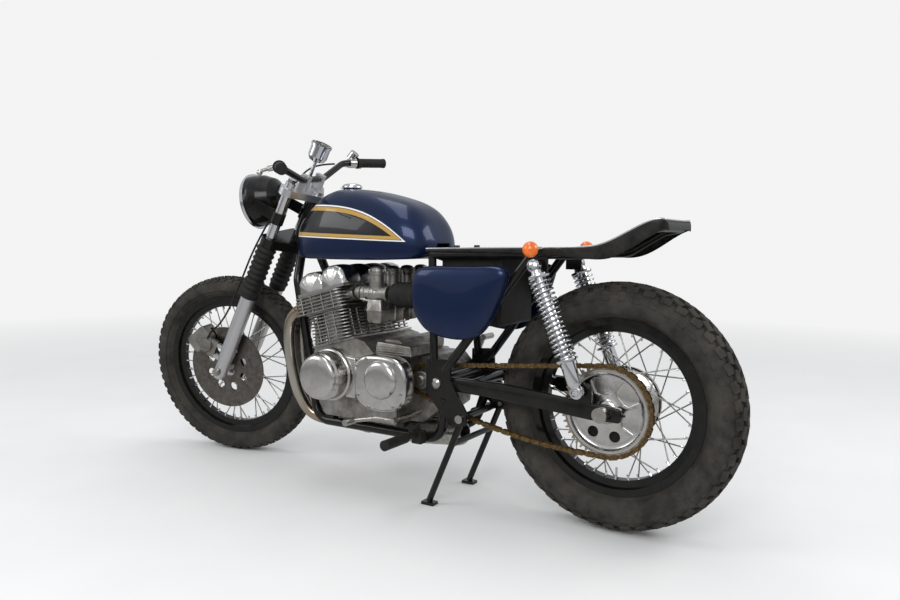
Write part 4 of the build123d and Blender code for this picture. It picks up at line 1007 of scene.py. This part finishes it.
class RACER_OT_gauge(bpy.types.Operator):
    """Adds the dial, its ticks and its needle."""

    bl_idname = "racer.gauge"
    bl_label = "Gauge"

    def execute(self, context):
        centre = Vector((0.060, -0.020, 0.8746))
        dial = knob(centre, (0, 0, 1), 0.0325, 0.0006, 48)
        settle(dial, STEERING)
        dial.name = "gauge_dial"
        dress(dial, "gauge_face", "steering")
        marks = []
        for k in range(31):
            angle = math.radians(225 - 9 * k)
            long = 0.0062 if k % 3 == 0 else 0.0035
            bpy.ops.mesh.primitive_cube_add(size=1.0)
            tick = bpy.context.active_object
            tick.scale = (long, 0.0007, 0.0004)
            settle(tick, Matrix.Translation((0.0295 - long / 2, 0, 0)))
            settle(tick, Matrix.Translation(centre + Vector((0, 0, 0.0008))) @ Matrix.Rotation(angle, 4, "Z"))
            marks.append(tick)
        needle = knob(centre + Vector((0, 0, 0.0006)), (0, 0, 1), 0.003, 0.0010, 20)
        bpy.ops.mesh.primitive_cube_add(size=1.0)
        hand = bpy.context.active_object
        hand.scale = (0.024, 0.0012, 0.0006)
        settle(hand, Matrix.Translation((0.011, 0, 0)))
        settle(hand, Matrix.Translation(centre + Vector((0, 0, 0.0012))) @ Matrix.Rotation(math.radians(225), 4, "Z"))
        face = join([needle, hand, *marks], "gauge_marks")
        settle(face, STEERING)
        dress(face, "ivory", "steering")
        return {"FINISHED"}


# The brake hose's route, as in the CAD, in the steering's own millimetres
HOSE = [
    (84, -222, 786), (112, -176, 772), (126, -122, 748), (114, -64, 726), (98, -6, 700), (92, 36, 650),
    (100, 62, 590), (104, 78, 520), (106, 92, 440), (104, 98, 360), (106, 101, 280), (110, 103, 210),
    (124, 104, 152), (146, 99, 118), (154, 92, 79.8),
]


class RACER_OT_cords(bpy.types.Operator):
    """Draws the brake hose as a smooth cord."""

    bl_idname = "racer.cords"
    bl_label = "Cords"

    def execute(self, context):
        route = [STEERING @ (Vector(point) / 1000) for point in HOSE]
        hose = cord("brake_hose_look", route, 0.0032, "rubber", "steering")
        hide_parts("brake_hose")
        return {"FINISHED"}


# The tank's stations: x, underside, half width, crown, in millimetres
TANK = [
    (353.5, 742, 84, 852), (351, 733, 94, 861), (340, 727, 106, 870), (318, 724, 118, 886), (290, 722, 129, 908),
    (262, 722, 136, 929), (230, 722, 141, 942), (196, 722, 144.5, 947.5), (125, 722.5, 147.4, 944),
    (60, 723, 147, 934), (0, 724, 144.5, 920),
    (-50, 726, 137, 905), (-88, 728, 128, 886), (-114, 731, 116, 863), (-132, 737, 102, 839), (-144, 746, 84, 812),
    (-151, 756, 62, 792), (-154, 764, 42, 781),
]
# The seat pan's stations: x, height of its top, skirt's depth, half width, in millimetres
PAN = [
    (-174, 762.2, 11, 129.5), (-300, 765.0, 13, 129.5), (-450, 768.6, 16, 130), (-590, 772.0, 22, 130),
    (-660, 774.4, 30, 130), (-700, 779.5, 38, 130), (-735, 793.0, 46, 130), (-770, 811.5, 48, 129.5),
    (-805, 830.0, 43, 129.5), (-832, 842.0, 37, 129), (-850, 846.5, 32, 127), (-862, 847.0, 28, 122),
    (-869, 844.0, 24, 114), (-872, 834.0, 16, 108), (-872, 824.0, 8, 104),
]
# A side cover's outline (x, z) in millimetres, the middle it is drawn in to, and its shell's and its lip's
# shares of that outline, each with its y in millimetres
COVER = [
    (-152, 650), (-160, 690), (-190, 709), (-255, 713), (-345, 715), (-428, 717), (-456, 702), (-450, 664), (-424, 600),
    (-396, 552), (-364, 522), (-316, 509), (-250, 513), (-202, 530), (-168, 566), (-153, 608),
]
COVER_MIDDLE = (-0.300, 0.615)
SHELL = [
    (0.985, 150.5), (0.99, 152), (0.996, 160), (1.0, 166), (0.985, 171.5), (0.95, 176), (0.88, 179.5),
    (0.74, 182.4), (0.5, 184.4), (0.2, 185.4), (0.01, 185.6),
]
LIP = [(0.99, 149), (1.012, 149), (1.016, 151), (1.012, 153.5), (0.99, 153.5)]
# A swingarm's side, (x, z) in millimetres
ARM = [
    (-212, 391), (-420, 391), (-640, 371), (-700, 365), (-768, 361), (-772, 342), (-768, 323), (-690, 322),
    (-420, 345), (-212, 353),
]
SHOCK_FOOT = Vector((-0.662, 0.0, 0.398))
SHOCK_HEAD = Vector((-0.533, 0.0, 0.722))


def drawn_in(outline, share, y):
    """A side cover's outline drawn in to its middle by a share, as a ring at y in millimetres."""
    mid_x, mid_z = COVER_MIDDLE
    return [
        (mid_x + (x / 1000 - mid_x) * share, y / 1000, mid_z + (z / 1000 - mid_z) * share) for x, z in outline
    ]


class RACER_OT_bodywork(bpy.types.Operator):
    """Models the tank, the seat pan with its rolled edge, and both side covers."""

    bl_idname = "racer.bodywork"
    bl_label = "Bodywork"

    def execute(self, context):
        tank = skin("fuel_tank_look", [tank_ring(*row) for row in tank_stations()])
        cut(tank, pressed("tunnel", [(400, 700), (400, 900), (-100, 786), (-180, 772), (-180, 700)], -36, 36, 0))
        profile = [(0, 0), (29.5, 0), (28.5, 40), (29.5, 46), (28, 48), (0, 48)]
        neck = lathe("neck", profile, (FILLER_X, 0, 0.902), (0, 0, 1), 48)
        lugs = [slab("lug", (-168.5, y - 10, 741), (-128, y + 10, 751), 1) for y in (-50, 50)]
        lugs.append(slab("bridge", (-166, -60, 750), (-128, 60, 757), 2))
        tank = join([tank, neck] + lugs, "fuel_tank_look")
        dress(tank, "tank", "chassis", 50.0)
        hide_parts("fuel_tank")

        lines = []
        for x, top, skirt, half in PAN:
            across = [
                (half - 7, top - skirt), (half - 1.5, top - skirt + 1), (half, top - skirt + 6), (half, top - 5),
                (half - 1, top - 1.5), (half - 4, top), (half - 8, top - 1.5), (half - 12, top - 3.6),
                (half * 0.5, top - 4.2), (0, top - 4.4),
            ]
            ring = [(x / 1000, y / 1000, z / 1000) for y, z in across]
            ring += [(x, -y, z) for x, y, z in reversed(ring[:-1])]
            lines.append(ring)
        count = len(lines[0])
        corners = [point for line in lines for point in line]
        faces = [
            (a * count + k, a * count + k + 1, (a + 1) * count + k + 1, (a + 1) * count + k)
            for a in range(len(lines) - 1) for k in range(count - 1)
        ]
        mesh = bpy.data.meshes.new("pan")
        mesh.from_pydata(corners, [], faces)
        pan = bpy.data.objects.new("seat_pan_look", mesh)
        bpy.context.collection.objects.link(pan)
        outward(pan)
        only(pan)
        smooth = pan.modifiers.new("Subdivision", "SUBSURF")
        smooth.levels = 2
        thick = pan.modifiers.new("Solidify", "SOLIDIFY")
        thick.thickness = 0.0016
        thick.offset = 0.0
        apply_all(pan)
        bushes = []
        for x in (-538, -238):
            for y in (-60, 60):
                place = (x / 1000, y / 1000, 0.73)
                cut(pan, rod("hole", 8.5, 60, place, (0, 0, 1), 32))
                bushes.append(lathe("bush", [
                    (4.2, 24), (9, 24), (9, 41.2), (8.2, 42), (4.2, 42), (4.2, 24),
                ], place, (0, 0, 1), 32, False))
        pan = join([pan] + bushes, "seat_pan_look")
        dress(pan, "seat_sheet", "chassis", 50.0)
        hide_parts("seat_pan")
        left = [(x, half - 1.5, top - 0.2) for x, top, skirt, half in PAN[:-2]]
        edge = tubing("edge", left + [(x, -y, z) for x, y, z in reversed(left)], 2.2, 10)
        edge.name = "pan_edge"
        dress(edge, "chrome", "chassis", 60.0)

        outline = flowing(COVER, 5)
        covers = []
        for side in (1, -1):
            for name, table in (("shell", SHELL), ("lip", LIP)):
                covers.append(skin(name, [drawn_in(outline, share, side * y) for share, y in table]))
            for x, z, from_y in ((-400, 612, 136), (-194.6, 620, 132.5)):
                covers.append(rod("peg", 5, 17, (x / 1000, side * from_y / 1000, z / 1000), (0, side, 0), 20))
        pair = join(covers, "side_covers_look")
        dress(pair, "paint", "chassis", 40.0)
        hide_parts("side_covers")
        return {"FINISHED"}


class RACER_OT_rear(bpy.types.Operator):
    """Models the shock absorbers and the swingarm."""

    bl_idname = "racer.rear"
    bl_label = "Rear suspension"

    def execute(self, context):
        along = (SHOCK_HEAD - SHOCK_FOOT).normalized()
        long = (SHOCK_HEAD - SHOCK_FOOT).length * 1000
        bodies, springs = [], []
        for side in (1, -1):
            foot = SHOCK_FOOT + Vector((0, side * 0.152, 0))
            bodies.append(lathe("damper", [
                (0, 14), (15, 14), (18, 20), (20, 24), (20, 80), (22, 82), (31, 84), (31.5, 87), (31, 90), (18, 90.5),
                (17, 92), (17, long - 34), (30, long - 33.5), (31, long - 30), (30, long - 26), (19, long - 24),
                (17, long - 14), (0, long - 14),
            ], foot, along, 48))
            for place in (foot, SHOCK_HEAD + Vector((0, side * 0.152, 0))):
                bodies.append(lathe("eye", [
                    (8.3, -14), (13, -14), (13, -12), (17, -11.5), (18, -10), (18, 10), (17, 11.5), (13, 12), (13, 14),
                    (8.3, 14), (8.3, -14),
                ], place, (0, 1, 0), 40))
                bodies.append(lathe("nut", [(0, 0), (12, 0), (12, 1.5), (10, 1.6), (10, 8), (8, 10), (5, 14), (0, 15)],
                                    place + Vector((0, side * 0.014, 0)), (0, side, 0), 6))
            turns, steps, coil = 17, 20, 27.3
            low, high = 93.5, long - 36.5
            points = []
            for k in range(turns * steps + 1):
                angle = 2 * math.pi * k / steps
                rise = (high - low) * k / (turns * steps)
                points.append((coil * math.cos(angle), coil * math.sin(angle), low + rise))
            spring = tubing("spring", points, 3.0, 2)
            settle(spring, aim(foot, along))
            springs.append(spring)
        pair = join(bodies, "shock_dampers_look")
        dress(pair, "chrome", "chassis", 40.0)
        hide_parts("shock_dampers")
        coils = join(springs, "shock_springs_look")
        dress(coils, "chrome", "chassis", 60.0)
        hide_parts("shock_springs")

        parts = [
            lathe("pivot", [(8.4, -129), (19, -129), (20, -128), (20, 128), (19, 129), (8.4, 129), (8.4, -129)],
                  (-0.222, 0, 0.372), (0, 1, 0), 40),
            lathe("cross", [(0, -124), (15, -124), (15, 124), (0, 124)], (-0.308, 0, 0.370), (0, 1, 0), 32),
        ]
        for low, high in ((107.7, 128.3), (-128.3, -107.7)):
            arm = pressed("arm", ARM, low, high, 0)
            soften(arm, 0.0055, 3, 40)
            slot = slab("slot", (-746, low - 2, 332.2), (-702, high + 2, 353.8), 0)
            parts.append(cut(arm, slot))
            side = 1 if low > 0 else -1
            outline = rounded([(-692, 352), (-688, 410), (-664, 420), (-640, 408), (-632, 356)], 8)
            parts.append(pressed("horn", outline, low + 1, high - 1, 2.5))
            for x in (-764, -696):
                parts.append(lathe("adjuster", [(0, 0), (6, 0), (6, 5), (3, 6), (3, 12), (0, 12)],
                                   (x / 1000 - 0.004, (low + high) / 2000, 0.343), (-1, 0, 0), 6))
            parts.append(rod("stud", 8, 44, (-0.662, side * 0.1265, 0.398), (0, side, 0), 24))
        arms = join(parts, "swingarm_look")
        dress(arms, "gloss_black", "chassis", 40.0)
        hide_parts("swingarm")
        return {"FINISHED"}


# The camera as solved from the photograph: its place, its angles in radians, its focal length in pixels
CAMERA_AT = Vector((-1.40658, 2.01145, 0.79585))
CAMERA_YAW = -1.02306
CAMERA_PITCH = -0.08142
CAMERA_ROLL = 0.010345
CAMERA_PIXELS = 771.41
PICTURE_WIDE = 900
SENSOR_WIDE = 36.0


class RACER_OT_studio(bpy.types.Operator):
    """Sets the floor, the lights, the white surroundings and the camera."""

    bl_idname = "racer.studio"
    bl_label = "Studio"

    def execute(self, context):
        made, tree, shader = begin("floor")
        at = spot(tree)
        tree.links.new(
            mix(tree, spread(tree, noise(tree, at, 3.0), 0.3, 0.7, 0.0, 1.0), (0.80, 0.80, 0.79), (0.77, 0.77, 0.765)),
            shader.inputs["Base Color"],
        )
        shader.inputs["Roughness"].default_value = 0.75
        away = node(tree, "ShaderNodeVectorMath", {0: at}, operation="LENGTH").outputs[1]
        pale = node(tree, "ShaderNodeEmission", {"Color": (0.9, 0.9, 0.9, 1.0), "Strength": 1.0})
        fade = node(
            tree, "ShaderNodeMixShader",
            {0: spread(tree, away, 1.8, 6.0, 0.0, 1.0), 1: shader.outputs[0], 2: pale.outputs[0]},
        )
        path = node(tree, "ShaderNodeLightPath")
        # Painted reflection: shiny parts see the floor as a glow, 0.42 near the machine and fading to near black far
        # off, in place of the lit floor
        depth = mix(tree, spread(tree, away, 0.9, 4.5, 0.0, 1.0), (0.42, 0.42, 0.42), (0.035, 0.036, 0.04))
        painted_floor_reflection = node(tree, "ShaderNodeEmission", {"Color": depth, "Strength": 1.0})
        share = sums(tree, "MULTIPLY", path.outputs["Is Glossy Ray"], 0.8)
        ground = node(tree, "ShaderNodeMixShader", {0: share, 1: fade.outputs[0], 2: painted_floor_reflection.outputs[0]})
        tree.links.new(ground.outputs[0], tree.nodes["Material Output"].inputs["Surface"])
        bpy.ops.mesh.primitive_plane_add(size=60.0, location=(0, 0, -0.0005))
        floor = bpy.context.active_object
        floor.name = "floor"
        floor.data.materials.append(made)
        world = bpy.data.worlds.new("studio")
        context.scene.world = world
        world.use_nodes = True
        tree = world.node_tree
        path = node(tree, "ShaderNodeLightPath")
        seen = sums(tree, "MAXIMUM", path.outputs["Is Camera Ray"], path.outputs["Is Transmission Ray"])
        soft = node(tree, "ShaderNodeBackground", {"Color": (0.95, 0.97, 1.0, 1.0), "Strength": 0.75})
        dim = node(tree, "ShaderNodeBackground", {"Color": (0.94, 0.97, 1.0, 1.0), "Strength": 0.55})
        white = node(tree, "ShaderNodeBackground", {"Color": (0.9, 0.9, 0.9, 1.0), "Strength": 1.0})
        glossy = path.outputs["Is Glossy Ray"]
        lit = node(tree, "ShaderNodeMixShader", {0: glossy, 1: soft.outputs[0], 2: dim.outputs[0]})
        both = node(tree, "ShaderNodeMixShader", {0: seen, 1: lit.outputs[0], 2: white.outputs[0]})
        tree.links.new(both.outputs[0], tree.nodes["World Output"].inputs["Surface"])
        # place, target, size, watts
        for place, target, size, watts in (
            ((-1.6, 3.4, 2.7), (0.0, 0.0, 0.4), (2.4, 1.6), 60.0),
            ((2.6, 2.4, 2.2), (0.3, 0.0, 0.5), (1.6, 1.6), 26.0),
            ((-2.8, -1.6, 2.4), (-0.3, 0.0, 0.5), (2.0, 1.2), 30.0),
            ((0.2, 0.1, 3.4), (0.0, 0.0, 0.5), (3.0, 1.0), 22.0),
        ):
            bpy.ops.object.light_add(type="AREA", location=place)
            lamp = bpy.context.active_object
            lamp.data.shape = "RECTANGLE"
            lamp.data.size, lamp.data.size_y = size
            lamp.data.energy = watts
            lamp.rotation_euler = (Vector(target) - Vector(place)).to_track_quat("-Z", "Y").to_euler()
        bpy.ops.object.camera_add(location=CAMERA_AT)
        camera = bpy.context.active_object
        ahead = Vector((
            math.cos(CAMERA_PITCH) * math.cos(CAMERA_YAW), math.cos(CAMERA_PITCH) * math.sin(CAMERA_YAW),
            math.sin(CAMERA_PITCH),
        ))
        right = Vector((math.sin(CAMERA_YAW), -math.cos(CAMERA_YAW), 0.0))
        up = right.cross(ahead)
        side = right * math.cos(CAMERA_ROLL) + up * math.sin(CAMERA_ROLL)
        top = up * math.cos(CAMERA_ROLL) - right * math.sin(CAMERA_ROLL)
        camera.matrix_world = Matrix((
            (side.x, top.x, -ahead.x, CAMERA_AT.x),
            (side.y, top.y, -ahead.y, CAMERA_AT.y),
            (side.z, top.z, -ahead.z, CAMERA_AT.z),
            (0, 0, 0, 1),
        ))
        camera.data.sensor_width = SENSOR_WIDE
        camera.data.sensor_fit = "HORIZONTAL"
        camera.data.lens = CAMERA_PIXELS / PICTURE_WIDE * SENSOR_WIDE
        context.scene.camera = camera
        context.scene.view_settings.view_transform = "Standard"
        return {"FINISHED"}


class RACER_PT_panel(bpy.types.Panel):
    """The add-on's panel."""

    bl_label = "Cafe racer"
    bl_idname = "RACER_PT_panel"
    bl_space_type = "VIEW_3D"
    bl_region_type = "UI"
    bl_category = "Racer"

    def draw(self, context):
        for name in ("paint", "gold", "rear_blocks", "front_blocks", "dust"):
            self.layout.prop(context.scene.racer, name)
        for step in STEPS:
            self.layout.operator(step.bl_idname)


STEPS = (
    RACER_OT_finishes, RACER_OT_tyres, RACER_OT_wheels, RACER_OT_engine, RACER_OT_bodywork, RACER_OT_rear,
    RACER_OT_gauge, RACER_OT_cords, RACER_OT_studio,
)


def register():
    for each in (RacerSettings, *STEPS, RACER_PT_panel):
        bpy.utils.register_class(each)
    bpy.types.Scene.racer = bpy.props.PointerProperty(type=RacerSettings)


def unregister():
    del bpy.types.Scene.racer
    for each in reversed((RacerSettings, *STEPS, RACER_PT_panel)):
        bpy.utils.unregister_class(each)


def main():
    register()
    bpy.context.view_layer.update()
    bpy.ops.racer.finishes()
    bpy.ops.racer.tyres()
    bpy.ops.racer.wheels()
    bpy.ops.racer.engine()
    bpy.ops.racer.bodywork()
    bpy.ops.racer.rear()
    bpy.ops.racer.gauge()
    bpy.ops.racer.cords()
    bpy.ops.racer.studio()


if __name__ == "__main__":
    main()
